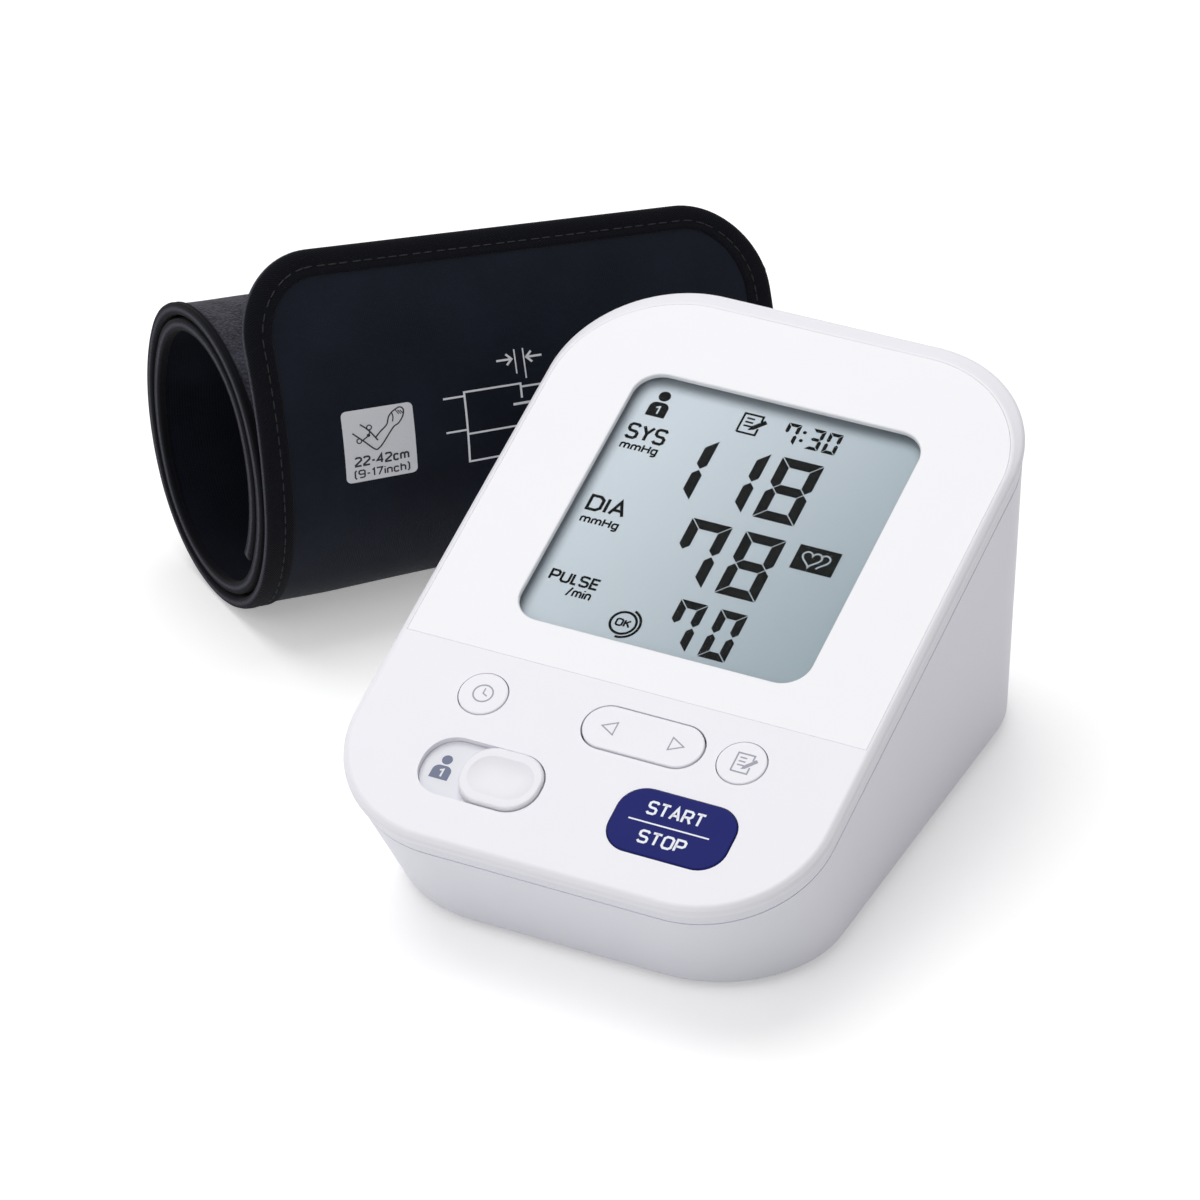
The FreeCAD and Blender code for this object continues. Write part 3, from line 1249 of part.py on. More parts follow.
def cuff_layer(low, high, inset):
    """Layer over the whole roll, drawn in from both sides and from the flap's free end."""
    flap = band([FLAP_ARC], low, high, 0, CUFF_WIDTH).common(flap_cutter(inset))
    return fused([flap, band(ROLL[1:], low, high, inset, CUFF_WIDTH - inset)])


def in_place(shape):
    return placed(shape, Placement(Vector(CUFF_PLACE[0], CUFF_PLACE[1], -FOOT_HEIGHT),
                                     Rotation(Vector(0, 0, 1), CUFF_TURN)))


FABRIC_LOW = CUFF_HALF_THICKNESS - CUFF_FABRIC
BINDING_LOW = CUFF_HALF_THICKNESS - CUFF_BINDING


def cuff_fabric(side):
    """Fabric on one side of the cuff, thinner where the binding is sewn over it."""
    def layer(low, high, inset):
        return cuff_layer(min(side * low, side * high), max(side * low, side * high), inset)

    return fused([layer(FABRIC_LOW, CUFF_HALF_THICKNESS, CUFF_BINDING_WIDTH),
                  layer(FABRIC_LOW, BINDING_LOW, CUFF_BINDING_EDGE)])


def cuff_cover():
    return in_place(cuff_fabric(1))


def cuff_lining():
    return in_place(cuff_fabric(-1))


def cuff_curler():
    return in_place(cuff_layer(0, FABRIC_LOW, CUFF_BINDING_EDGE))


def cuff_bladder():
    margin = CUFF_FLAP_SPARE + math.degrees(BLADDER_EDGE / CUFF_FLAP_RADIUS)
    arcs = [part_of_arc(FLAP_ARC, margin / (CUFF_FLAP_SWEEP + CUFF_FLAP_SPARE), 1)] + ROLL[1:]
    return in_place(band(arcs, -FABRIC_LOW, 0, BLADDER_EDGE, CUFF_WIDTH - BLADDER_EDGE))


def cuff_binding():
    whole = cuff_layer(-CUFF_HALF_THICKNESS, CUFF_HALF_THICKNESS, 0)
    middle_flap = band([FLAP_ARC], -CUFF_FLAP_CORNER / 2, CUFF_FLAP_CORNER / 2, 0, CUFF_WIDTH)
    middle_flap = middle_flap.common(flap_cutter(CUFF_BINDING_WIDTH))
    middle = band(ROLL[1:], -CUFF_HALF_THICKNESS, CUFF_HALF_THICKNESS, CUFF_BINDING_WIDTH,
                  CUFF_WIDTH - CUFF_BINDING_WIDTH)
    core = cuff_layer(-BINDING_LOW, BINDING_LOW, CUFF_BINDING_EDGE)
    return in_place(whole.cut(middle_flap).cut(middle).cut(core).removeSplitter())


def cuff_hook_patch():
    arc = part_of_arc(FLAP_ARC, *HOOK_SPAN_SHARES)
    return in_place(band([arc], -CUFF_HALF_THICKNESS - HOOK_THICKNESS, -CUFF_HALF_THICKNESS, HOOK_EDGE,
                         CUFF_WIDTH - HOOK_EDGE))


def port_place():
    """Middle of the hose nipple's root, on the back of the roll."""
    centre, radius = ROLL[3][0], ROLL[3][1]
    return roll_point(centre - Vector(radius + CUFF_HALF_THICKNESS, 0, 0), CUFF_WIDTH / 2)


def cuff_air_port():
    """Flanged hose nipple on the back of the roll, away from the flap."""
    middle = CUFF_WIDTH / 2
    flange_arc = part_of_arc(ROLL[3], *PORT_PLATE_SPAN_SHARES)
    flange = band([flange_arc], CUFF_HALF_THICKNESS, CUFF_HALF_THICKNESS + PORT_PLATE,
                  middle - PORT_SPAN / 2, middle + PORT_SPAN / 2)
    seat = PORT_PLATE + PORT_SHOULDER
    end = seat + PORT_NIPPLE_LENGTH
    root = port_place()
    shoulder = along(rod(PORT_SHOULDER_RADIUS, PORT_PLATE / 2, seat), PLUS_Y_AXIS, root)
    nipple = along(rod(PORT_NIPPLE_RADIUS, PORT_PLATE / 2, end), PLUS_Y_AXIS, root)
    bore = along(rod(PORT_BORE_RADIUS, PORT_PLATE, end + OVERRUN), PLUS_Y_AXIS, root)
    return in_place(fused([flange, shoulder, nipple]).cut(bore))


NODES = {
    "top_cover": top_cover,
    "display_panel": display_panel,
    "window_lens": window_lens,
    "bottom_case": bottom_case,
    "case_screws": case_screws,
    "rubber_feet": rubber_feet,
    "battery_door": battery_door,
    "lcd_glass": lcd_glass,
    "lcd_reflector": lcd_reflector,
    "lcd_frame": lcd_frame,
    "lcd_connector_strips": lcd_connector_strips,
    "main_board": main_board,
    "board_screws": board_screws,
    "microcontroller": microcontroller,
    "pressure_sensor": pressure_sensor,
    "tact_switches": tact_switches,
    "clock_button": lambda: round_key(clock_place()),
    "memory_button": lambda: round_key(memory_place()),
    "start_stop_button": start_stop_button,
    "arrow_rocker": arrow_rocker,
    "rocker_pin": rocker_pin,
    "user_switch_plate": user_switch_plate,
    "user_switch_knob": user_switch_knob,
    "user_switch_carrier": user_switch_carrier,
    "slide_switch": slide_switch,
    "battery_cell_1": lambda: battery_cell(0),
    "battery_cell_2": lambda: battery_cell(1),
    "battery_cell_3": lambda: battery_cell(2),
    "battery_cell_4": lambda: battery_cell(3),
    "battery_contacts": battery_contacts,
    "pump_head": pump_head,
    "pump_diaphragm": pump_diaphragm,
    "pump_drive_plate": pump_drive_plate,
    "pump_housing": pump_housing,
    "pump_cradle": pump_cradle,
    "motor_can": motor_can,
    "motor_end_cap": motor_end_cap,
    "motor_magnets": motor_magnets,
    "motor_rotor": motor_rotor,
    "motor_shaft": motor_shaft,
    "air_manifold": air_manifold,
    "pump_tube": pump_tube,
    "jack_tube": jack_tube,
    "valve_tube": valve_tube,
    "sensor_tube": sensor_tube,
    "air_jack": air_jack,
    "power_inlet": power_inlet,
    "valve_yoke": valve_yoke,
    "valve_coil": valve_coil,
    "valve_plunger": valve_plunger,
    "valve_spring": valve_spring,
    "cuff_cover": cuff_cover,
    "cuff_lining": cuff_lining,
    "cuff_bladder": cuff_bladder,
    "cuff_curler": cuff_curler,
    "cuff_binding": cuff_binding,
    "cuff_hook_patch": cuff_hook_patch,
    "cuff_air_port": cuff_air_port,
}

os.makedirs("parts", exist_ok=True)
for name, make in NODES.items():
    shape = make()
    if not shape.isValid():
        raise ValueError(name + " is not a valid shape")
    shape.exportStep("parts/" + name + ".step")
    print(name, len(shape.Solids), round(shape.Volume, 1))
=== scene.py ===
import json
import math

import bmesh
import bpy
from mathutils import Matrix, Vector, noise


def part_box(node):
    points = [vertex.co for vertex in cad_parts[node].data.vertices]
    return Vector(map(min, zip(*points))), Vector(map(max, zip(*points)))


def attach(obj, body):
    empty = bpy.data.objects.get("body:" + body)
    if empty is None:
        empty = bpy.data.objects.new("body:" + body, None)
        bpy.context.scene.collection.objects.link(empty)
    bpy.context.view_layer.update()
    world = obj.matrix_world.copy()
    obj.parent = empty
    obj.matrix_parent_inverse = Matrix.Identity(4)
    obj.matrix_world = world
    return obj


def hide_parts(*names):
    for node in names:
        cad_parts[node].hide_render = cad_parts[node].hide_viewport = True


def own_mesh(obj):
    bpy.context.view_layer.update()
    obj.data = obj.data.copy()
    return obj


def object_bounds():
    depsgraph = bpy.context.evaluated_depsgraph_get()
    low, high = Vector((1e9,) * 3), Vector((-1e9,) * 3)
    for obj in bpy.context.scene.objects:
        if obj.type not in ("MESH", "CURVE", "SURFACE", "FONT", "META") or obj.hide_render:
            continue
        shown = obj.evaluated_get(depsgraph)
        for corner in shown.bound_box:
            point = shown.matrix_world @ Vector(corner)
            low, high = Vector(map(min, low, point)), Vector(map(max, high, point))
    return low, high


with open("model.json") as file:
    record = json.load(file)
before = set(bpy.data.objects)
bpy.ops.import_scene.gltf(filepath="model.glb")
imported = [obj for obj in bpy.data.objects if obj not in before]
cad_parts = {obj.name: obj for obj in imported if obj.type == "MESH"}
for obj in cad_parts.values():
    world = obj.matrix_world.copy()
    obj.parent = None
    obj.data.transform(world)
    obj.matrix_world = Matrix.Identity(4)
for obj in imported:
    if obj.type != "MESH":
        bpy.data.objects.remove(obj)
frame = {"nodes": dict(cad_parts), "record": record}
cad_low, cad_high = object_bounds()
NODES = frame["nodes"]
MM = 0.001

# Camera, fitted to the case's outline
CAMERA_AZIMUTH = 26.509
CAMERA_ELEVATION = 33.075
CAMERA_ROLL = -0.688
CAMERA_DISTANCE = 1.19953
CAMERA_TARGET = Vector((-0.02709, 0.00557, 0.0338))
CAMERA_LENS = 173.96
CAMERA_SENSOR = 36.0
CAMERA_REACH = 50.0

# The sloped face, in the part's own sizes (mm)
FACE_TILT = 20.3
FACE_HEIGHT = 56.8
KEY_TOP = 0.25
SLOT_FLOOR = -1.3
LCD_TOP = -2.5
LCD_LEFT = -32.3
LCD_BACK = 38.6
# Width of the painted shadow along the display's left and top edges
LCD_SHADE = 2.6

# The rolled cuff, in the part's own sizes (mm)
CUFF_WIDTH = 120.0
CUFF_PLACE = Vector((-129.1, 20.3, -1.2))
CUFF_TURN = 47.0
CUFF_FAR_SHARE = 0.853
CUFF_SLANT_SHARE = 0.15
CUFF_SIDE_RADIUS = 46.2
CUFF_END_RADIUS = 27.1
CUFF_SIDE_SWEEP = 50.0
CUFF_FLAP_RADIUS = 113.0
CUFF_FLAP_SWEEP = 29.1
CUFF_FLAP_SPARE = 3.0
CUFF_FLAP_SKEW = 5.55
CUFF_FLAP_CORNER = 18.0
CUFF_PITCH = 3.5
CUFF_ARCS = 8
CUFF_HALF_THICKNESS = 1.4
TAPE_WIDTH = 6.0


def srgb(red, green, blue):
    """Linear colour with full alpha from display values of 0 to 255."""
    def linear(value):
        share = value / 255
        return share / 12.92 if share <= 0.04045 else ((share + 0.055) / 1.055) ** 2.4

    return (linear(red), linear(green), linear(blue), 1.0)


# Materials

MATERIALS = {}


def fill(tree, node, inputs):
    """Set a node's inputs: a socket is linked, and any other value is set on the input itself."""
    for key, value in inputs.items():
        if isinstance(value, bpy.types.NodeSocket):
            tree.links.new(value, node.inputs[key])
        else:
            node.inputs[key].default_value = value


def add(tree, kind, inputs=None, **settings):
    made = tree.nodes.new(kind)
    for key, value in settings.items():
        setattr(made, key, value)
    fill(tree, made, inputs or {})
    return made


def start_material(name, inputs):
    """New material, kept under its name, with a Principled shader."""
    material = bpy.data.materials.new(name)
    material.use_nodes = True
    MATERIALS[name] = material
    tree = material.node_tree
    shader = tree.nodes["Principled BSDF"]
    fill(tree, shader, inputs)
    return tree, shader


def mixed(tree, factor, first, second):
    """Colour socket between two colours by a factor socket."""
    mix = add(tree, "ShaderNodeMix", {"Factor": factor}, data_type="RGBA")
    colours = [index for index, socket in enumerate(mix.inputs) if socket.type == "RGBA"]
    fill(tree, mix, dict(zip(colours, (first, second))))
    return [socket for socket in mix.outputs if socket.type == "RGBA"][0]


def ranged(tree, value, low, high, from_low=0.0, from_high=1.0):
    spread = add(tree, "ShaderNodeMapRange", {"Value": value, "From Min": from_low, "From Max": from_high,
                                              "To Min": low, "To Max": high})
    return spread.outputs["Result"]


def bumped(tree, shader, height, strength, distance):
    bump = add(tree, "ShaderNodeBump", {"Height": height, "Strength": strength, "Distance": distance})
    fill(tree, shader, {"Normal": bump.outputs["Normal"]})


def math_node(tree, operation, first, second):
    return add(tree, "ShaderNodeMath", {0: first, 1: second}, operation=operation).outputs["Value"]


def noise_node(tree, vector, scale, detail=2.0):
    made = add(tree, "ShaderNodeTexNoise", {"Vector": vector, "Scale": scale, "Detail": detail})
    return made.outputs["Fac"]


def wave_node(tree, vector, direction, scale, distortion, detail_scale):
    made = add(tree, "ShaderNodeTexWave", {"Vector": vector, "Scale": scale, "Distortion": distortion,
                                           "Detail": 1.0, "Detail Scale": detail_scale},
               wave_type="BANDS", bands_direction=direction)
    return made.outputs["Fac"]


def object_vector(tree):
    return add(tree, "ShaderNodeTexCoord").outputs["Object"]


def vector_parts(tree, vector):
    return add(tree, "ShaderNodeSeparateXYZ", {"Vector": vector}).outputs


def seen_rays(tree):
    """1 for rays from the camera, off a glossy surface or through a clear one."""
    path = add(tree, "ShaderNodeLightPath").outputs
    seen = math_node(tree, "MAXIMUM", path["Is Camera Ray"], path["Is Glossy Ray"])
    return math_node(tree, "MAXIMUM", seen, path["Is Transmission Ray"])


def darkened(colour, share):
    return tuple(value * share for value in colour[:3]) + (1.0,)


def moulded(name, colour, roughness, grain=0.05, mottle=0.04, **extra):
    """Moulded plastic or rubber: faint mottling, uneven gloss and a fine grain."""
    tree, shader = start_material(name, {"IOR": 1.46, **extra})
    place = object_vector(tree)
    cloud = noise_node(tree, place, 38.0)
    sheen = noise_node(tree, place, 150.0, 4.0)
    fill(tree, shader, {"Base Color": mixed(tree, cloud, darkened(colour, 1 - mottle), colour),
                        "Roughness": ranged(tree, sheen, roughness - 0.05, roughness + 0.05)})
    bumped(tree, shader, noise_node(tree, place, 2600.0, 3.0), grain, 0.0002)


def brushed(name, colour, roughness):
    """Metal with fine drawn lines."""
    tree, shader = start_material(name, {"Metallic": 1.0})
    stretch = add(tree, "ShaderNodeMapping", {"Vector": object_vector(tree),
                                              "Scale": (60.0, 1800.0, 1800.0)})
    lines = noise_node(tree, stretch.outputs["Vector"], 1.0, 3.0)
    fill(tree, shader, {"Base Color": mixed(tree, lines, darkened(colour, 0.82), colour),
                        "Roughness": ranged(tree, lines, roughness - 0.08, roughness + 0.08)})
    bumped(tree, shader, lines, 0.05, 0.0001)


def start_cloth(name, sheen, spread, gloss):
    """New material for cloth, with its UVs in metres."""
    tree, shader = start_material(name, {"Sheen Weight": sheen, "Sheen Roughness": spread,
                                         "Specular IOR Level": gloss})
    return tree, shader, add(tree, "ShaderNodeTexCoord").outputs["UV"]


def woven(name, warp, weft, pitch, roughness, bump, sheen, gloss):
    """Plain weave: crossing threads, with a slow colour drift."""
    tree, shader, place = start_cloth(name, sheen, spread=0.4, gloss=gloss)
    threads = [wave_node(tree, place, way, math.pi / (10 * pitch), 0.6, 1.5) for way in ("X", "Y")]
    height = math_node(tree, "MAXIMUM", *threads)
    cloth = mixed(tree, math_node(tree, "GREATER_THAN", *threads), warp, weft)
    faded = tuple(value * 1.25 + 0.002 for value in warp[:3]) + (1.0,)
    drift = ranged(tree, noise_node(tree, place, 45.0, 3.0), 0.0, 0.8, 0.35, 0.75)
    fill(tree, shader, {"Base Color": mixed(tree, drift, cloth, faded),
                        "Roughness": ranged(tree, height, roughness + 0.1, roughness - 0.05)})
    bumped(tree, shader, height, bump, 0.0002)


def looped(name, deep, tip, roughness):
    """Brushed loop pile: a mat of tiny curls."""
    tree, shader, place = start_cloth(name, sheen=0.14, spread=0.5, gloss=0.15)
    curls = add(tree, "ShaderNodeTexVoronoi", {"Vector": place, "Scale": 1500.0, "Randomness": 1.0})
    fluff = noise_node(tree, place, 2200.0, 4.0)
    height = math_node(tree, "SUBTRACT", fluff, curls.outputs["Distance"])
    patch = ranged(tree, noise_node(tree, place, 160.0, 3.0), -0.15, 0.35, 0.3, 0.7)
    shade = math_node(tree, "ADD", ranged(tree, height, 0.0, 0.7, -0.5, 0.6), patch)
    fill(tree, shader, {"Base Color": mixed(tree, shade, deep, tip),
                        "Roughness": ranged(tree, fluff, roughness - 0.05, roughness + 0.05)})
    bumped(tree, shader, height, 0.8, 0.0004)


def knitted(name, deep, tip, fold):
    """Ribbed edge tape: U runs along it and V across it, with a lighter fold at its middle, worn and
    carrying a painted highlight.
    """
    tree, shader, place = start_cloth(name, sheen=0.04, spread=0.45, gloss=0.08)
    rib = wave_node(tree, place, "DIAGONAL", 950.0, 1.0, 2.0)
    fuzz = noise_node(tree, place, 1800.0, 3.0)
    height = math_node(tree, "ADD", rib, math_node(tree, "MULTIPLY", fuzz, 0.5))
    knit = mixed(tree, ranged(tree, height, 0.0, 1.0, 0.2, 1.3), deep, tip)
    # Lighter fold along the tape's middle: a painted highlight where the rounded fold catches light, and
    # wear.
    off_fold = math_node(tree, "ABSOLUTE", vector_parts(tree, place)["Y"], 0.0)
    fold_wear_and_painted_highlight = math_node(tree, "MULTIPLY", ranged(tree, off_fold, 1.0, 0.0, 0.0001, 0.0007),
                     ranged(tree, fuzz, 0.4, 1.0, 0.3, 0.6))
    fill(tree, shader, {"Base Color": mixed(tree, fold_wear_and_painted_highlight, knit, fold),
                        "Roughness": ranged(tree, fuzz, 0.72, 0.9)})
    bumped(tree, shader, height, 0.5, 0.0002)


def lcd_material():
    """Reflective display: a pale blue-grey polariser, with painted shade darker to the lower right and a
    painted shadow of the window's frame along its left and top edges.
    """
    tree, shader = start_material("lcd_glass", {"Roughness": 0.35, "Specular IOR Level": 0.15})
    place = object_vector(tree)
    parts = vector_parts(tree, place)
    # Painted shade: the pane darkens towards the lower right, over a faint random cloud of tone.
    slant = math_node(tree, "SUBTRACT", parts["X"], math_node(tree, "MULTIPLY", parts["Y"], 0.45))
    fade = ranged(tree, slant, 0.0, 1.0, -0.035, 0.045)
    cloud = ranged(tree, noise_node(tree, place, 24.0), -0.06, 0.06)
    pane = mixed(tree, math_node(tree, "ADD", fade, cloud), srgb(225, 236, 245), srgb(163, 180, 189))
    # Painted shadow of the window's frame: a darker band along the display's left and top edges.
    left_painted_shadow = ranged(tree, parts["X"], 0.5, 0.0, LCD_LEFT * MM, (LCD_LEFT + LCD_SHADE) * MM)
    top_painted_shadow = ranged(tree, parts["Y"], 0.0, 0.55, (LCD_BACK - LCD_SHADE) * MM, LCD_BACK * MM)
    shade = math_node(tree, "MAXIMUM", left_painted_shadow, top_painted_shadow)
    fill(tree, shader, {"Base Color": mixed(tree, shade, pane, srgb(118, 130, 138))})
    bumped(tree, shader, noise_node(tree, place, 3000.0), 0.03, 0.0001)


def window_material():
    """Clear acrylic, mostly see-through."""
    tree, shader = start_material("clear_window", {"Base Color": (0.05, 0.06, 0.06, 1.0), "Alpha": 0.06,
                                                   "IOR": 1.49, "Specular IOR Level": 0.12})
    smear = noise_node(tree, object_vector(tree), 60.0)
    fill(tree, shader, {"Roughness": ranged(tree, smear, 0.04, 0.09)})


window_material()
lcd_material()
moulded("white_gloss", srgb(238, 238, 242), 0.34, grain=0.02, mottle=0.012,
        **{"Coat Weight": 0.08, "Coat Roughness": 0.15})
moulded("keypad_white", srgb(237, 236, 242), 0.4, mottle=0.015)
moulded("case_white", srgb(230, 230, 238), 0.48, grain=0.1, mottle=0.02)
moulded("key_white", srgb(238, 237, 243), 0.42, mottle=0.015)
moulded("key_blue", srgb(30, 36, 108), 0.5, mottle=0.06, **{"Specular IOR Level": 0.08})
moulded("knob_grey", srgb(232, 231, 237), 0.32, grain=0.02, mottle=0.02)
moulded("slot_white", srgb(226, 226, 233), 0.5, grain=0.06, mottle=0.02)
moulded("frame_white", srgb(226, 226, 226), 0.5)
moulded("lcd_grey", srgb(170, 178, 182), 0.6)
moulded("connector_rubber", srgb(150, 132, 132), 0.7, mottle=0.1)
moulded("board_green", srgb(28, 92, 58), 0.4, mottle=0.12)
moulded("black_plastic", srgb(38, 38, 41), 0.5, mottle=0.1)
moulded("black_rubber", srgb(44, 44, 47), 0.75, grain=0.15, mottle=0.1)
moulded("cell_jacket", srgb(64, 68, 80), 0.3, mottle=0.08, **{"Metallic": 0.4})
moulded("pump_plastic", srgb(208, 209, 211), 0.5)
moulded("tube_silicone", srgb(222, 222, 218), 0.4, mottle=0.05)
moulded("fitting_grey", srgb(136, 139, 144), 0.45, mottle=0.05)
brushed("steel", srgb(196, 196, 200), 0.32)
brushed("magnet", srgb(96, 96, 100), 0.55)
brushed("copper_coil", srgb(198, 124, 72), 0.35)
woven("cuff_navy", srgb(19, 24, 36), srgb(12, 15, 24), 0.00042, 0.6, 0.18, 0.04, 0.1)
woven("cuff_lining", srgb(22, 24, 32), srgb(11, 12, 18), 0.0006, 0.75, 0.3, 0.01, 0.03)
looped("cuff_loop", srgb(25, 25, 32), srgb(74, 74, 86), 0.9)
looped("cuff_hook", srgb(18, 18, 22), srgb(52, 52, 60), 0.7)
# The tape's last colour is its lighter fold: a painted highlight, and wear.
knitted("cuff_black", srgb(6, 7, 11), srgb(19, 20, 27), srgb(72, 72, 84))
moulded("cuff_thread", srgb(16, 17, 22), 0.7, mottle=0.2)
moulded("print_white", srgb(232, 234, 238), 0.6, grain=0.2, mottle=0.1)
moulded("print_pale", srgb(222, 223, 227), 0.6, grain=0.2, mottle=0.06)
moulded("print_dark", srgb(46, 47, 54), 0.6, mottle=0.1)
moulded("print_grey", srgb(156, 158, 171), 0.5, mottle=0.08)
moulded("print_blue_grey", srgb(101, 109, 135), 0.5, mottle=0.08)
moulded("key_print", srgb(236, 238, 246), 0.45, mottle=0.03)
moulded("segment_black", srgb(11, 11, 12), 0.6, mottle=0.1, **{"Specular IOR Level": 0.05})

NODE_MATERIALS = {
    "top_cover": "keypad_white", "display_panel": "white_gloss", "user_switch_plate": "slot_white",
}
# Slots without a material here are those of nodes inside the cuff, which its padded piece replaces
for row in frame["record"]["subparts"]:
    wanted = NODE_MATERIALS.get(row["node"], row["material_slot"])
    if wanted in MATERIALS:
        slots = NODES[row["node"]].data.materials
        slots.clear()
        slots.append(MATERIALS[wanted])


# Lettering: each sign as lines on a grid six units tall; a line that ends where it starts is closed

LETTER_GAP = 1.7
LETTERS = {
    "A": [[(0, 0), (2.2, 6), (4.4, 0)], [(0.8, 2), (3.6, 2)]],
    "D": [[(0, 0), (0, 6), (2.9, 6), (4.2, 4.8), (4.2, 1.2), (2.9, 0), (0, 0)]],
    "E": [[(3.6, 6), (0, 6), (0, 0), (3.6, 0)], [(0, 3.1), (3.2, 3.1)]],
    "H": [[(0, 0), (0, 6)], [(4, 0), (4, 6)], [(0, 3.1), (4, 3.1)]],
    "I": [[(0, 0), (0, 6)]],
    "K": [[(0, 0), (0, 6)], [(3.7, 6), (0, 2.7)], [(1.3, 3.7), (3.9, 0)]],
    "L": [[(0, 6), (0, 0), (2.3, 0)]],
    "O": [[(1, 0), (3.4, 0), (4.4, 1), (4.4, 5), (3.4, 6), (1, 6), (0, 5), (0, 1), (1, 0)]],
    "P": [[(0, 0), (0, 6), (3.2, 6), (4.1, 5.2), (4.1, 3.4), (3.2, 2.6), (0, 2.6)]],
    "R": [[(0, 0), (0, 6), (3.2, 6), (4.1, 5.2), (4.1, 3.6), (3.2, 2.8), (0, 2.8)],
          [(2.3, 2.8), (4.2, 0)]],
    "S": [[(4.1, 5.2), (3.3, 6), (0.8, 6), (0, 5.3), (0, 3.8), (0.8, 3.1), (3.3, 2.9), (4.1, 2.2),
           (4.1, 0.7), (3.3, 0), (0.8, 0), (0, 0.8)]],
    "T": [[(0, 6), (4.2, 6)], [(2.1, 6), (2.1, 0)]],
    "U": [[(0, 6), (0, 0.9), (0.9, 0), (3.2, 0), (4.1, 0.9), (4.1, 6)]],
    "Y": [[(0, 6), (2.1, 3), (4.2, 6)], [(2.1, 3), (2.1, 0)]],
    "c": [[(3, 3.5), (2.3, 4.2), (0.8, 4.2), (0, 3.4), (0, 0.8), (0.8, 0), (2.3, 0), (3, 0.7)]],
    "g": [[(3, 0.2), (0.8, 0.2), (0, 1), (0, 3.4), (0.8, 4.2), (3, 4.2), (3, -0.9), (2.2, -1.7),
           (0.4, -1.7)]],
    "h": [[(0, 0), (0, 6)], [(0, 3.3), (0.8, 4.2), (2.2, 4.2), (3, 3.4), (3, 0)]],
    "i": [[(0, 0), (0, 4.2)], [(0, 5.4), (0, 6.1)]],
    "m": [[(0, 0), (0, 4.2)], [(0, 3.3), (0.8, 4.2), (1.8, 4.2), (2.6, 3.4), (2.6, 0)],
          [(2.6, 3.3), (3.4, 4.2), (4.4, 4.2), (5.2, 3.4), (5.2, 0)]],
    "n": [[(0, 0), (0, 4.2)], [(0, 3.3), (0.8, 4.2), (2.2, 4.2), (3, 3.4), (3, 0)]],
    "/": [[(0, -0.4), (2.4, 6.3)]],
    "(": [[(1, 6.6), (0, 5), (0, 0.6), (1, -1)]],
    ")": [[(0, 6.6), (1, 5), (1, 0.6), (0, -1)]],
    "-": [[(0, 2.6), (1.8, 2.6)]],
    "1": [[(0, 4.9), (1.3, 6), (1.3, 0)]],
    "2": [[(0, 5.2), (0.8, 6), (3.2, 6), (4, 5.2), (4, 3.9), (0, 0.8), (0, 0), (4, 0)]],
    "4": [[(3, 0), (3, 6), (0, 1.9), (4, 1.9)]],
    "7": [[(0, 6), (4, 6), (1.5, 0)]],
    "9": [[(0.5, 0), (3.2, 0), (4, 0.8), (4, 5.2), (3.2, 6), (0.8, 6), (0, 5.2), (0, 3.6), (0.8, 2.8),
           (4, 2.8)]],
}


# Flat marks: drawn in a plane's own millimetres, then raised into one thin closed mesh

def on_face(u, v, n):
    turn = math.radians(FACE_TILT)
    return Vector((u, v * math.cos(turn) - n * math.sin(turn),
                   FACE_HEIGHT + v * math.sin(turn) + n * math.cos(turn))) * MM


def round_point(centre, radius, degrees):
    turn = math.radians(degrees)
    return (centre[0] + radius * math.cos(turn), centre[1] + radius * math.sin(turn))


MERGE_DISTANCE = 1e-5
MITRE_LEAST = 0.35


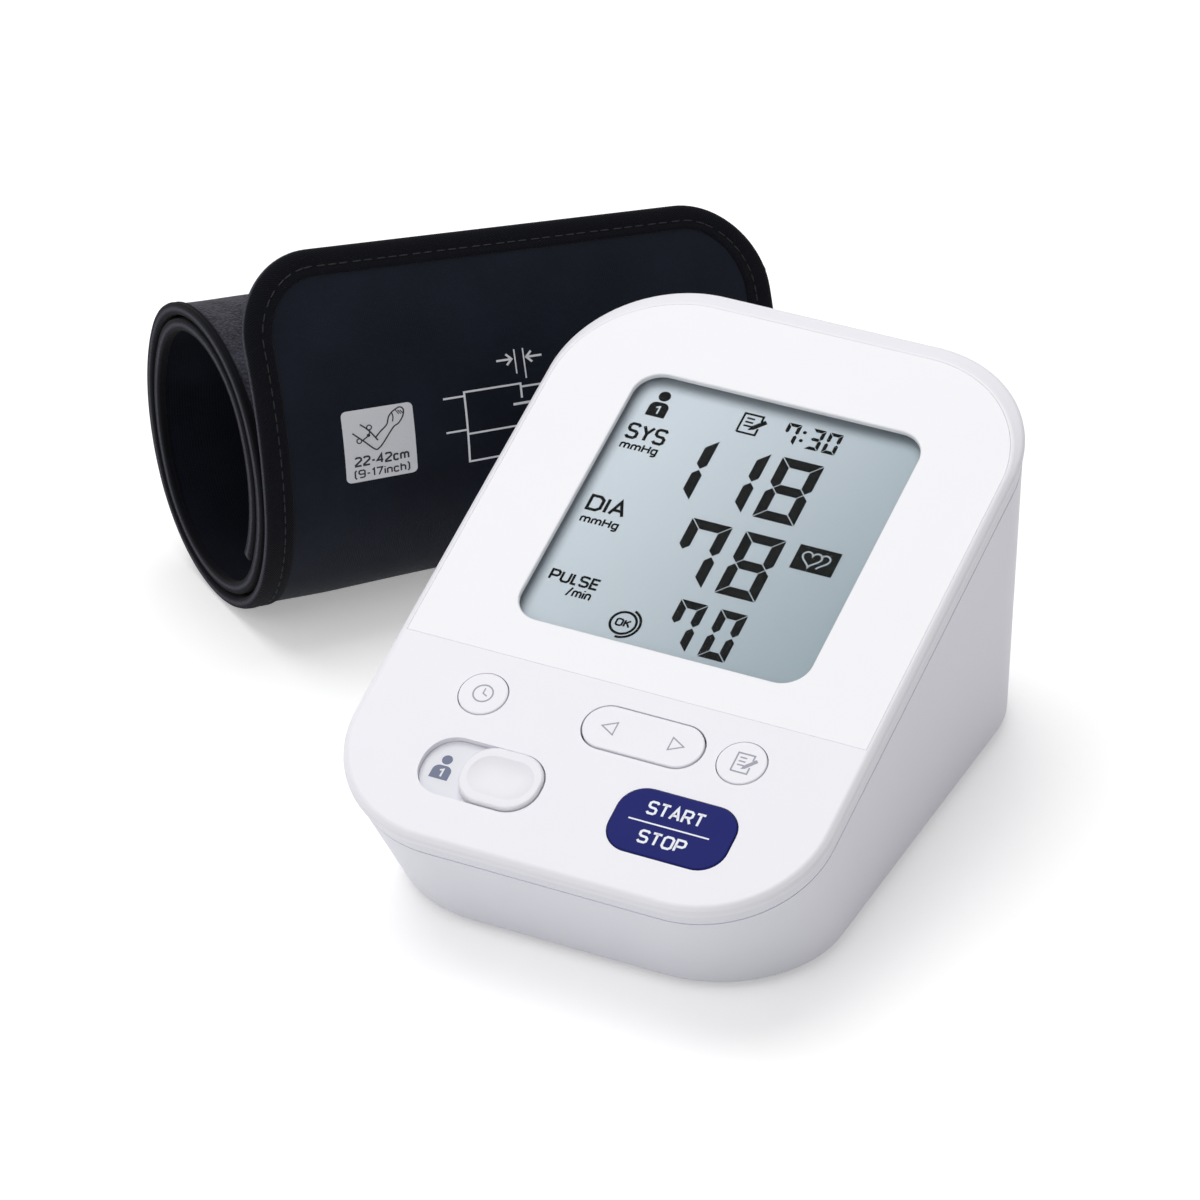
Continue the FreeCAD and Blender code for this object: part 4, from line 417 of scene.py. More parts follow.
class Marks:
    """Marks of one thickness, gathered into one mesh."""

    def __init__(self, thickness):
        self.mesh = bmesh.new()
        self.thickness = thickness

    def strip(self, left, right, closed=False):
        """Closed prism between two lines of points that run side by side."""
        low_left, low_right, top_left, top_right = (
            [self.mesh.verts.new((x, y, height)) for x, y in side]
            for height in (0.0, self.thickness) for side in (left, right))
        count = len(left)
        steps = count if closed else count - 1
        for index in range(steps):
            after = (index + 1) % count
            self.mesh.faces.new((top_left[index], top_right[index], top_right[after], top_left[after]))
            self.mesh.faces.new((low_left[after], low_right[after], low_right[index], low_left[index]))
            self.mesh.faces.new((top_left[after], low_left[after], low_left[index], top_left[index]))
            self.mesh.faces.new((top_right[index], low_right[index], low_right[after], top_right[after]))
        if not closed:
            self.mesh.faces.new((top_left[0], low_left[0], low_right[0], top_right[0]))
            self.mesh.faces.new((top_right[-1], low_right[-1], low_left[-1], top_left[-1]))

    def polygon(self, points):
        """Closed prism on an outline of points."""
        low = [self.mesh.verts.new((x, y, 0.0)) for x, y in points]
        top = [self.mesh.verts.new((x, y, self.thickness)) for x, y in points]
        self.mesh.faces.new(top)
        self.mesh.faces.new(low[::-1])
        for index in range(len(points)):
            self.mesh.faces.new((top[index - 1], low[index - 1], low[index], top[index]))

    def stroke(self, points, width, closed=False):
        """Line of even width through points, with mitred corners."""
        spots = [Vector(point) for point in points]
        ends = spots[1:] + spots[:1] if closed else spots[1:]
        ways = [(end - start).normalized() for start, end in zip(spots, ends)]
        ways = ways[-1:] + ways if closed else ways[:1] + ways + ways[-1:]
        left, right = [], []
        for spot, before, after in zip(spots, ways, ways[1:]):
            way = (before + after).normalized()
            side = Vector((-way.y, way.x))
            reach = width / 2 / max(MITRE_LEAST, abs(way.dot(before)))
            left.append(spot + side * reach)
            right.append(spot - side * reach)
        self.strip(left, right, closed)

    def arc(self, centre, radius, width, start=0.0, end=360.0, steps=40):
        closed = end - start >= 360.0
        count = steps if closed else steps + 1
        turns = [start + (end - start) * index / steps for index in range(count)]
        outer, inner = ([round_point(centre, reach, turn) for turn in turns]
                        for reach in (radius + width / 2, radius - width / 2))
        self.strip(inner, outer, closed)

    def disc(self, centre, radius, steps=32):
        self.polygon([round_point(centre, radius, 360 * index / steps) for index in range(steps)])

    def text(self, words, box, width):
        """Words in even strokes, set to fill a box of left, bottom, right, top."""
        lines = []
        start = 0.0
        for sign in words:
            lines += [[(x + start, y) for x, y in line] for line in LETTERS[sign]]
            start = max(x for line in lines for x, y in line) + LETTER_GAP
        xs = [x for line in lines for x, y in line]
        ys = [y for line in lines for x, y in line]
        left, bottom, right, top = box
        wide = (right - left - width) / max(max(xs) - min(xs), 1.0)
        tall = (top - bottom - width) / (max(ys) - min(ys))
        for line in lines:
            spots = [(left + width / 2 + (x - min(xs)) * wide, bottom + width / 2 + (y - min(ys)) * tall)
                     for x, y in line]
            closed = line[0] == line[-1]
            self.stroke(spots[:-1] if closed else spots, width, closed)

    def cut_rows(self, low, high, spacing):
        """Extra edges across the marks, so that they can follow a curved surface."""
        for index in range(int((high - low) / spacing) + 1):
            parts = self.mesh.verts[:] + self.mesh.edges[:] + self.mesh.faces[:]
            bmesh.ops.bisect_plane(self.mesh, geom=parts, dist=MERGE_DISTANCE,
                                   plane_co=(0, low + index * spacing, 0), plane_no=(0, 1, 0))

    def piece(self, name, material, body, place):
        bmesh.ops.remove_doubles(self.mesh, verts=self.mesh.verts[:], dist=MERGE_DISTANCE)
        for vert in self.mesh.verts:
            vert.co = place(*vert.co)
        return finish_mesh(self.mesh, name, [material], body)


def new_object(name, data):
    made = bpy.data.objects.new(name, data)
    bpy.context.scene.collection.objects.link(made)
    return made


def finish_mesh(mesh, name, materials, body):
    bmesh.ops.recalc_face_normals(mesh, faces=mesh.faces[:])
    data = bpy.data.meshes.new(name)
    mesh.to_mesh(data)
    mesh.free()
    for material in materials:
        data.materials.append(MATERIALS[material])
    made = new_object(name, data)
    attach(made, body)
    return made


def curve(points, steps=5):
    """Smooth line through points."""
    spots = [Vector(point) for point in points]
    spots = [spots[0] * 2 - spots[1]] + spots + [spots[-1] * 2 - spots[-2]]
    line = []
    for a, b, c, d in zip(spots, spots[1:], spots[2:], spots[3:]):
        for index in range(steps):
            t = index / steps
            line.append(0.5 * (2 * b + (c - a) * t + (2 * a - 5 * b + 4 * c - d) * t ** 2
                               + (3 * b - a - 3 * c + d) * t ** 3))
    return line + [spots[-2]]


def face_place(height):
    return lambda u, v, n: on_face(u, v, height + n)


# Display contents

SEGMENTS = {"0": "abcdef", "1": "bc", "3": "abcdg", "7": "abcf", "8": "abcdefg"}


def digit(marks, sign, left, bottom, width, height, stroke, gap):
    """Seven-segment digit with mitred bars."""
    half = height / 2
    mid = stroke / 2
    bars = {
        "a": [(gap, height), (width - gap, height), (width - stroke - gap, height - stroke),
              (stroke + gap, height - stroke)],
        "d": [(gap, 0), (stroke + gap, stroke), (width - stroke - gap, stroke), (width - gap, 0)],
        "g": [(mid + gap, half), (stroke + gap, half + mid), (width - stroke - gap, half + mid),
              (width - mid - gap, half), (width - stroke - gap, half - mid), (stroke + gap, half - mid)],
        "f": [(0, height - gap), (stroke, height - stroke - gap), (stroke, half + mid + gap),
              (mid, half + gap), (0, half + gap + mid)],
        "e": [(0, gap), (0, half - gap - mid), (mid, half - gap), (stroke, half - mid - gap),
              (stroke, stroke + gap)],
    }
    bars["b"] = [(width - x, y) for x, y in bars["f"]]
    bars["c"] = [(width - x, y) for x, y in bars["e"]]
    for bar in SEGMENTS[sign]:
        marks.polygon([(left + x, bottom + y) for x, y in bars[bar]])


def person(marks, left, bottom, width, height):
    """Head and shoulders."""
    middle = left + width / 2
    head = height * 0.19
    marks.disc((middle, bottom + height - head), head)
    shoulder = width * 0.34
    top = bottom + height * 0.56
    outline = [(left, bottom), (left + width, bottom)]
    for x, start in ((left + width - shoulder, 0), (left + shoulder, 90)):
        outline += [round_point((x, top - shoulder), shoulder, start + index * 15) for index in range(7)]
    marks.polygon(outline)


def notepad(marks, left, bottom, width, height, line):
    """Sheet with ruled lines and a pencil across its corner."""
    page = width * 0.8
    top = bottom + height
    edge = left + page
    marks.stroke([(left, bottom), (edge, bottom), (edge, bottom + height * 0.35)], line)
    marks.stroke([(edge, top - height * 0.28), (edge, top), (left, top), (left, bottom)], line)
    for share in (0.78, 0.58, 0.38):
        row = bottom + height * share
        marks.stroke([(left + page * 0.2, row), (left + page * 0.62, row)], line * 0.9)
    tip = Vector((left + page * 0.52, bottom + height * 0.18))
    end = Vector((left + width, bottom + height * 0.78))
    way = (end - tip).normalized()
    side = Vector((-way.y, way.x)) * line * 1.15
    collar = tip + way * line * 2.4
    marks.polygon([tip, collar - side, end - side, end + side, collar + side])


def heart(centre, size, steps=36):
    points = []
    for index in range(steps):
        t = 2 * math.pi * index / steps
        x = 16 * math.sin(t) ** 3
        y = 13 * math.cos(t) - 5 * math.cos(2 * t) - 2 * math.cos(3 * t) - math.cos(4 * t)
        points.append((centre[0] + x * size / 32, centre[1] + y * size / 32))
    return points


# Thicknesses of what is drawn or printed (mm)
SEGMENT_THICKNESS = 0.05
PRINT_THICKNESS = 0.03
CUTOUT_THICKNESS = 0.02

# Rows of digits: signs with their left ends, then the row's bottom, width, height, stroke and gap
DIGIT_GAP = 0.16
CLOCK_GAP = 0.112
DIGIT_ROWS = (
    ((("1", -19.4), ("1", -7.7), ("8", 4.2)), 12.4, 9.3, 16.3, 2.3, DIGIT_GAP),
    ((("7", -7.3), ("8", 4.7)), -8.0, 9.0, 16.5, 2.3, DIGIT_GAP),
    ((("7", -0.9), ("0", 7.9)), -23.9, 6.0, 12.4, 1.85, DIGIT_GAP),
    ((("7", 1.8), ("3", 7.3), ("0", 11.1)), 32.0, 3.0, 5.5, 0.8, CLOCK_GAP),
)
COLON_DOTS = ((5.95, 33.7), (5.95, 35.9))
COLON_RADIUS = 0.42
# Words with their boxes and strokes
DISPLAY_WORDS = (
    ("SYS", (-30.2, 23.9, -21.2, 28.2), 0.68),
    ("mmHg", (-30.0, 20.6, -21.5, 23.3), 0.4),
    ("DIA", (-30.0, 4.0, -21.3, 8.2), 0.68),
    ("mmHg", (-29.8, 0.2, -21.2, 2.9), 0.4),
    ("PULSE", (-29.7, -14.9, -18.5, -12.0), 0.52),
    ("/min", (-24.5, -17.9, -19.0, -15.3), 0.4),
    ("OK", (-11.6, -21.7, -8.2, -19.7), 0.4),
)
RING_CENTRE = (-9.9, -20.7)
RING_LINE = 0.55
HEART_FIELD = ((16.8, 2.4), (26.0, 2.4), (26.0, 8.7), (16.8, 8.7))
HEART_CENTRES = ((20.4, 5.7), (22.2, 5.7))
HEART_SIZE = 4.2
HEART_LINE = 0.36
RIGHT_HALF = slice(1, 18)

segments = Marks(SEGMENT_THICKNESS)
for signs, *sizes in DIGIT_ROWS:
    for sign, left in signs:
        digit(segments, sign, left, *sizes)
for dot in COLON_DOTS:
    segments.disc(dot, COLON_RADIUS, 12)
for words, box, width in DISPLAY_WORDS:
    segments.text(words, box, width)
person(segments, -28.3, 30.8, 4.3, 6.9)
notepad(segments, -8.0, 32.2, 5.2, 5.0, 0.46)
segments.arc(RING_CENTRE, 2.75, RING_LINE)
segments.arc(RING_CENTRE, 3.6, RING_LINE, -95.0, 70.0)
segments.polygon(HEART_FIELD)
segments.piece("lcd_segments", "segment_black", "case", face_place(LCD_TOP))

cutouts = Marks(CUTOUT_THICKNESS)
cutouts.text("1", (-26.85, 31.4, -25.75, 33.7), 0.34)
near_heart, far_heart = (heart(centre, HEART_SIZE) for centre in HEART_CENTRES)
cutouts.stroke(near_heart, HEART_LINE, closed=True)
cutouts.stroke(far_heart[RIGHT_HALF], HEART_LINE)
cutouts.piece("lcd_cutouts", "lcd_glass", "case", face_place(LCD_TOP + SEGMENT_THICKNESS))

# Printed marks on the keys and in the switch recess

KEY_ROW = -47.3
CLOCK_MIDDLE = -28.5
ICON_LINE = 0.28
START_LINE = 0.52

clock_mark = Marks(PRINT_THICKNESS)
clock_mark.arc((CLOCK_MIDDLE, KEY_ROW), 2.05, 0.32)
clock_mark.stroke([(CLOCK_MIDDLE, -46.0), (CLOCK_MIDDLE, KEY_ROW), (-27.5, -47.75)], ICON_LINE)
clock_mark.piece("clock_mark", "print_grey", "clock_key", face_place(KEY_TOP))

memory_mark = Marks(PRINT_THICKNESS)
notepad(memory_mark, 27.0, -49.6, 4.4, 4.5, 0.34)
memory_mark.piece("memory_mark", "print_grey", "memory_key", face_place(KEY_TOP))

arrow_marks = Marks(PRINT_THICKNESS)
for tip, base in ((-2.0, 0.9), (15.9, 13.0)):
    arrow_marks.stroke([(tip, KEY_ROW), (base, -45.75), (base, -48.85)], ICON_LINE, closed=True)
arrow_marks.piece("arrow_marks", "print_grey", "arrow_key", face_place(KEY_TOP))

start_mark = Marks(PRINT_THICKNESS)
start_mark.text("START", (15.0, -64.4, 27.3, -61.1), START_LINE)
start_mark.stroke([(12.4, -66.3), (29.8, -66.3)], 0.34)
start_mark.text("STOP", (16.0, -71.2, 26.2, -68.0), START_LINE)
start_mark.piece("start_stop_mark", "key_print", "start_stop_key", face_place(KEY_TOP))

user_mark = Marks(PRINT_THICKNESS)
person(user_mark, -31.1, -68.4, 4.1, 5.9)
user_mark.piece("user_mark", "print_blue_grey", "case", face_place(SLOT_FLOOR))
user_number = Marks(CUTOUT_THICKNESS)
user_number.text("1", (-29.65, -68.0, -28.55, -65.8), 0.4)
user_number.piece("user_number", "slot_white", "case", face_place(SLOT_FLOOR + PRINT_THICKNESS))


# Arm cuff: the same spiral of arcs as the part

def outward(heading):
    turn = math.radians(heading)
    return Vector((-math.sin(turn), math.cos(turn)))


def cuff_arcs():
    """Arcs from the flap's free end inwards as centre, radius, start heading and length."""
    side_half = CUFF_SIDE_SWEEP / 2
    step = CUFF_PITCH / 4
    first_end = CUFF_END_RADIUS - step
    lean = math.sin(math.radians(side_half))
    height = lean * (CUFF_SIDE_RADIUS - first_end) + first_end + CUFF_HALF_THICKNESS
    reach = (CUFF_SIDE_RADIUS - CUFF_END_RADIUS) * math.cos(math.radians(side_half))
    side_centre = Vector((-reach, height))
    flap_centre = side_centre + outward(-90) * (CUFF_SIDE_RADIUS - CUFF_FLAP_RADIUS)
    arcs = [(flap_centre, CUFF_FLAP_RADIUS, -90 + CUFF_FLAP_SWEEP + CUFF_FLAP_SPARE, -90)]
    arcs.append((side_centre, CUFF_SIDE_RADIUS, -90, -90 - side_half))
    for index in range(1, CUFF_ARCS + 1):
        centre, radius, start, end = arcs[-1]
        base = CUFF_END_RADIUS if index % 2 else CUFF_SIDE_RADIUS
        sweep = 180 - CUFF_SIDE_SWEEP if index % 2 else CUFF_SIDE_SWEEP
        following = base - index * step
        arcs.append((centre + outward(end) * (radius - following), following, end, end - sweep))
    return [(centre, radius, start, radius * math.radians(start - end))
            for centre, radius, start, end in arcs]


ROLL = cuff_arcs()
ROLL_LENGTH = sum(arc[3] for arc in ROLL)
CUFF_FRAME = Matrix.Translation(CUFF_PLACE) @ Matrix.Rotation(math.radians(CUFF_TURN), 4, "Z")


def taper(across):
    """Size of the roll at a place across its width, as a share of its near end's."""
    return 1 - (1 - CUFF_FAR_SHARE) * across / CUFF_WIDTH


def cuff_point(along, across, offset):
    """Point on the cuff: distance from the flap's free end, place across, height off the middle."""
    left = along
    for index, (centre, radius, start, length) in enumerate(ROLL):
        if left <= length or index == len(ROLL) - 1:
            break
        left -= length
    spot = centre + outward(start - math.degrees(left / radius)) * (radius + offset)
    spot *= taper(across)
    return (CUFF_FRAME @ Vector((across + CUFF_SLANT_SHARE * spot.x, -spot.x, spot.y))) * MM


def smooth_share(value):
    share = max(0.0, min(1.0, value))
    return share * share * (3 - 2 * share)


def flap_end(across):
    """Distance from the flap arc's start to its slanted, round-cornered free edge."""
    centre, radius = ROLL[0][:2]
    top = centre.y + radius * math.sin(math.radians(CUFF_FLAP_SWEEP))
    top -= math.tan(math.radians(CUFF_FLAP_SKEW)) * across
    reach = max(0.0, CUFF_FLAP_CORNER - min(across, CUFF_WIDTH - across))
    top -= CUFF_FLAP_CORNER - math.sqrt(CUFF_FLAP_CORNER ** 2 - reach ** 2)
    sweep = math.asin((top / taper(across) - centre.y) / radius)
    return radius * (math.radians(CUFF_FLAP_SWEEP + CUFF_FLAP_SPARE) - sweep)


def edge_distance(along, across):
    return min(across, CUFF_WIDTH - across, along - flap_end(across), ROLL_LENGTH - along)


PAD_EDGE = 1.0
PAD_RISE = 0.42
PAD_SPREAD = 16.0
PAD_UNDER_TAPE = 2.0
LINING_DEPTH = 0.25
LINING_SPREAD = 10.0
LINING_FREE_LENGTH = 175.0
LINING_FREE_FADE = 30.0
FOLD_DEPTH = 0.9
FOLD_MIDDLE = 0.5
FOLD_LOWEST = -0.2
LOOP_START = 150.0
# Waves of uneven cloth as height, length along the cuff, length across it and seed
PAD_WAVES = ((0.1, 34.0, 34.0, 3.7), (0.05, 11.0, 11.0, 8.1))
LINING_WAVES = ((0.06, 12.0, 12.0, 6.6),)
FOLD_WAVES = ((1.0, 9.0, 26.0, 1.3), (0.5, 4.6, 14.0, 5.9))
TAPE_WAVES = ((0.05, 7.0, 7.0, 2.2),)


def uneven(waves, along, across):
    return sum(height * noise.noise(Vector((along / length, across / width, seed)))
               for height, length, width, seed in waves)


def padding_share(along, across, spread):
    return smooth_share((edge_distance(along, across) - TAPE_WIDTH + PAD_UNDER_TAPE) / spread)


def outer_offset(along, across):
    """Outside of the padded band: low at the tape, fuller in the middle, with soft unevenness."""
    rise = PAD_RISE + uneven(PAD_WAVES, along, across)
    return PAD_EDGE + padding_share(along, across, PAD_SPREAD) * rise


def inner_offset(along, across):
    """Lining: thin between the turns, gathered into folds where the roll's hollow leaves it free."""
    free = smooth_share((along - ROLL_LENGTH + LINING_FREE_LENGTH) / LINING_FREE_FADE)
    folds = max(FOLD_LOWEST, FOLD_DEPTH * uneven(FOLD_WAVES, along, across) + FOLD_MIDDLE)
    depth = LINING_DEPTH + uneven(LINING_WAVES, along, across) + free * folds
    return -(PAD_EDGE + padding_share(along, across, LINING_SPREAD) * depth)


def closed_sheet(name, spots, heights, materials, front, back):
    """Closed piece on a grid of places on the cuff: two faces and the rim between them.
    front gives a row's material on the first face, and back is that of the rest."""
    mesh = bmesh.new()
    uv = mesh.loops.layers.uv.new("UVMap")
    grids = [[[mesh.verts.new(cuff_point(along, across, height(along, across))) for along, across in line]
              for line in spots] for height in heights]

    def face(corners, material):
        made = mesh.faces.new([grids[side][row][column] for side, (row, column) in corners])
        made.material_index = material
        made.smooth = True
        for loop, (side, (row, column)) in zip(made.loops, corners):
            along, across = spots[row][column]
            loop[uv].uv = (along * MM, across * MM)

    rows, columns = len(spots) - 1, len(spots[0]) - 1
    for row in range(rows):
        for column in range(columns):
            ring = [(row, column), (row, column + 1), (row + 1, column + 1), (row + 1, column)]
            face([(0, spot) for spot in ring], front(row))
            face([(1, spot) for spot in ring[::-1]], back)
    border = [(0, column) for column in range(columns)] + [(row, columns) for row in range(rows)]
    border += [(rows, column) for column in range(columns, 0, -1)]
    border += [(row, 0) for row in range(rows, 0, -1)]
    for index, first in enumerate(border):
        second = border[(index + 1) % len(border)]
        face([(0, second), (0, first), (1, first), (1, second)], back)
    return finish_mesh(mesh, name, materials, "cuff")


BODY_COVER_ROWS = 84
BODY_ROLL_ROWS = 176
BODY_COLUMNS = 56
BODY_INSET = 0.5


def cuff_body():
    """Padded band: outer skin of cover cloth and loop pile, lining and the edges between them."""
    end = ROLL_LENGTH - BODY_INSET
    spots = []
    for row in range(BODY_COVER_ROWS + BODY_ROLL_ROWS + 1):
        line = []
        for column in range(BODY_COLUMNS + 1):
            across = BODY_INSET + (CUFF_WIDTH - 2 * BODY_INSET) * column / BODY_COLUMNS
            start = flap_end(across) + BODY_INSET
            if row < BODY_COVER_ROWS:
                along = start + (LOOP_START - start) * row / BODY_COVER_ROWS
            else:
                along = LOOP_START + (end - LOOP_START) * (row - BODY_COVER_ROWS) / BODY_ROLL_ROWS
            line.append((along, across))
        spots.append(line)
    cloths = ["cuff_navy", "cuff_loop", "cuff_lining"]
    return closed_sheet("cuff_body", spots, (outer_offset, inner_offset), cloths,
                        lambda row: int(row >= BODY_COVER_ROWS), cloths.index("cuff_lining"))


CORNER_STEPS = 22


def shares(count):
    return [index / count for index in range(count)]


def edge_path(spacing):
    """The cuff's outline as places along and across, with the way inwards and the distance at each."""
    corner = CUFF_FLAP_CORNER
    straight = CUFF_WIDTH - 2 * corner
    turns = [math.radians(90 * share) for share in shares(CORNER_STEPS)]
    flap = [corner * (1 - math.cos(turn)) for turn in turns]
    flap += [corner + straight * share for share in shares(int(straight / spacing))]
    flap += [CUFF_WIDTH - corner * (1 - math.sin(turn)) for turn in turns]
    near, far = flap_end(0.0), flap_end(CUFF_WIDTH)
    sides = shares(int(ROLL_LENGTH / spacing))
    points = [(ROLL_LENGTH + (near - ROLL_LENGTH) * share, 0.0) for share in sides]
    points += [(flap_end(across), across) for across in flap]
    points += [(far + (ROLL_LENGTH - far) * share, CUFF_WIDTH) for share in sides]
    points += [(ROLL_LENGTH, CUFF_WIDTH * (1 - share)) for share in shares(int(CUFF_WIDTH / spacing))]
    spots = [Vector(point) for point in points]
    path = []
    distance = 0.0
    for index, spot in enumerate(spots):
        before, after = spots[index - 1], spots[(index + 1) % len(spots)]
        way = (after - before).normalized()
        path.append((spot, Vector((way.y, -way.x)), distance))
        distance += (after - spot).length
    return path


# The tape's section as depth in from the cuff's edge and height off its middle
TAPE_FOLD = (-0.05, 0.0)
TAPE_SECTION = [(5.85, 0.75), (6.0, 1.0), (5.75, 1.32), (5.2, 1.46), (4.5, 1.42), (3.8, 1.24), (3.0, 1.4),
                (1.9, 1.46), (0.9, 1.34), (0.3, 1.06), (0.03, 0.6), TAPE_FOLD, (0.03, -0.6),
                (0.3, -1.06), (0.9, -1.26), (1.9, -1.34), (3.0, -1.3), (3.8, -1.18), (4.5, -1.3),
                (5.2, -1.34), (5.75, -1.24), (6.0, -0.98), (5.85, -0.75)]
STITCH_SPACING = 0.5
STITCH_DEPTH = 3.8
STITCH_HEIGHTS = (1.3, -1.24)
STITCH_PITCH = 2.7
STITCH_LENGTH = 2.0
STITCH_RADIUS = 0.17
STITCH_SIDES = 6
# Places along a stitch and its girth there, as shares of its length and radius
STITCH_SHARES = ((-0.5, 0.25), (-0.4, 0.8), (0.0, 1.0), (0.4, 0.8), (0.5, 0.25))
TAPE_SPACING = 1.6
TAPE_NARROW_START = 125.0
TAPE_NARROW_RUN = 25.0
TAPE_NARROW_SHARE = 0.3


def tape_share(along):
    """Width of the tape along the cuff as a share of the flap's: narrow on the turns inside the roll."""
    return 1 - (1 - TAPE_NARROW_SHARE) * smooth_share((along - TAPE_NARROW_START) / TAPE_NARROW_RUN)


def cuff_tape():
    """Edge tape folded over the whole outline, as one closed ring."""
    mesh = bmesh.new()
    uv = mesh.loops.layers.uv.new("UVMap")
    path = edge_path(TAPE_SPACING)
    reach = [0.0]
    for (d0, n0), (d1, n1) in zip(TAPE_SECTION, TAPE_SECTION[1:]):
        reach.append(reach[-1] + math.hypot(d1 - d0, n1 - n0))
    fold = reach[TAPE_SECTION.index(TAPE_FOLD)]
    rings = []
    for spot, inward, distance in path:
        ring = []
        for depth, height in TAPE_SECTION:
            place = spot + inward * depth * tape_share(spot.x)
            wave = uneven(TAPE_WAVES, distance, depth)
            lift = height + (wave if height > 0 else -wave)
            ring.append(mesh.verts.new(cuff_point(place.x, place.y, lift)))
        rings.append(ring)
    count = len(TAPE_SECTION)
    for index, ring in enumerate(rings):
        following = rings[(index + 1) % len(rings)]
        start = path[index][2]
        end = start + (path[(index + 1) % len(path)][0] - path[index][0]).length
        for step in range(count):
            after = (step + 1) % count
            made = mesh.faces.new((ring[step], ring[after], following[after], following[step]))
            made.smooth = True
            low, high = reach[step] - fold, reach[after] - fold
            corners = ((start, low), (start, high), (end, high), (end, low))
            for loop, (u, v) in zip(made.loops, corners):
                loop[uv].uv = (u * MM, v * MM)
    return finish_mesh(mesh, "cuff_tape", ["cuff_black"], "cuff")


def tube_faces(mesh, rings):
    """Faces of a tube through rings of points, with both ends closed."""
    sides = len(rings[0])
    for first, second in zip(rings, rings[1:]):
        for side in range(sides):
            after = (side + 1) % sides
            mesh.faces.new((first[side], first[after], second[after], second[side])).smooth = True
    mesh.faces.new(rings[0][::-1])
    mesh.faces.new(rings[-1])


def cuff_stitches():
    """Rows of thread along the flap's tape, on both faces."""
    mesh = bmesh.new()
    spots = [spot + inward * STITCH_DEPTH for spot, inward, distance in edge_path(STITCH_SPACING)]
    for height in STITCH_HEIGHTS:
        reached = 0.0
        for before, spot in zip(spots, spots[1:]):
            way = spot - before
            reached += way.length
            if reached < STITCH_PITCH:
                continue
            reached -= STITCH_PITCH
            if way.length < MERGE_DISTANCE or tape_share(spot.x) < 1:
                continue
            way.normalize()
            side = Vector((-way.y, way.x))
            rings = []
            for share, girth_share in STITCH_SHARES:
                ring = []
                for step in range(STITCH_SIDES):
                    turn = 2 * math.pi * step / STITCH_SIDES
                    girth = STITCH_RADIUS * girth_share
                    place = spot + way * STITCH_LENGTH * share + side * girth * math.cos(turn)
                    lift = height + girth * math.sin(turn)
                    ring.append(mesh.verts.new(cuff_point(place.x, place.y, lift)))
                rings.append(ring)
            tube_faces(mesh, rings)
    return finish_mesh(mesh, "cuff_stitches", ["cuff_thread"], "cuff")


HOOK_EDGE = 14.0
HOOK_SPAN_SHARES = (0.38, 0.68)
HOOK_BACK = 1.15
HOOK_FRONT = 1.45
HOOK_RISE = 0.55
HOOK_RIM = 1.2
HOOK_NUB = 0.12
HOOK_ROWS = 24
HOOK_COLUMNS = 110


def cuff_hooks():
    """Hook patch sewn behind the flap: a thin pad with rounded rim and a nubbly face."""
    low, high = (share * ROLL[0][3] for share in HOOK_SPAN_SHARES)
    reach = CUFF_WIDTH - 2 * HOOK_EDGE
    spots = [[(low + (high - low) * row / HOOK_ROWS, HOOK_EDGE + reach * column / HOOK_COLUMNS)
              for column in range(HOOK_COLUMNS + 1)] for row in range(HOOK_ROWS + 1)]

    def height(along, across):
        rim = min(along - low, high - along, across - HOOK_EDGE, CUFF_WIDTH - HOOK_EDGE - across)
        nub = HOOK_NUB * abs(noise.noise(Vector((along * 1.3, across * 1.3, 4.4))))
        return -(HOOK_FRONT + (HOOK_RISE + nub) * smooth_share(rim / HOOK_RIM))

    return closed_sheet("cuff_hooks", spots, (height, lambda along, across: -HOOK_BACK), ["cuff_hook"],
                        lambda row: 0, 0)


band = cuff_body()
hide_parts("cuff_cover", "cuff_lining", "cuff_bladder", "cuff_curler")
tape = cuff_tape()
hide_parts("cuff_binding")
stitches = cuff_stitches()
hooks = cuff_hooks()
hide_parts("cuff_hook_patch")


# The release valve's spring as a coil, in the spring part's place

SPRING_TURNS = 6
SPRING_TURN_STEPS = 24
SPRING_WIRE_SIDES = 8
SPRING_WIRE_RADIUS = 0.15


def valve_coil_spring():
    """Coil in the sleeve's place along Y, one end held by the yoke."""
    low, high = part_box("valve_spring")
    middle = (low + high) / 2
    wire = SPRING_WIRE_RADIUS * MM
    radius = (high.x - low.x) / 2 - wire
    run = high.y - low.y - 2 * wire
    steps = SPRING_TURN_STEPS * SPRING_TURNS
    mesh = bmesh.new()
    rings = []
    for step in range(steps + 1):
        turn = 2 * math.pi * SPRING_TURNS * step / steps
        out = Vector((math.cos(turn), 0.0, math.sin(turn)))
        centre = Vector((middle.x, low.y + wire + run * step / steps, middle.z)) + out * radius
        ring = []
        for side in range(SPRING_WIRE_SIDES):
            around = 2 * math.pi * side / SPRING_WIRE_SIDES
            ring.append(mesh.verts.new(centre + out * wire * math.cos(around)
                                       + Vector((0.0, wire * math.sin(around), 0.0))))
        rings.append(ring)
    tube_faces(mesh, rings)
    made = finish_mesh(mesh, "valve_coil_spring", ["steel"], "case")
    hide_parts("valve_spring")
    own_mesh(made)


valve_coil_spring()


# Printed marks on the flap; x runs across the cuff and y up towards the free edge

def flap_place(origin, lift):
    across, along = origin

    def place(x, y, n):
        a, c = along - y, across + x
        return cuff_point(a, c, outer_offset(a, c) + lift + n)

    return place


def rounded_box(width, height, radius, steps=8):
    right, top = width - radius, height - radius
    points = []
    for corner, centre in enumerate(((right, top), (radius, top), (radius, radius), (right, radius))):
        turns = [90 * (corner + index / steps) for index in range(steps + 1)]
        points += [round_point(centre, radius, turn) for turn in turns]
    return points


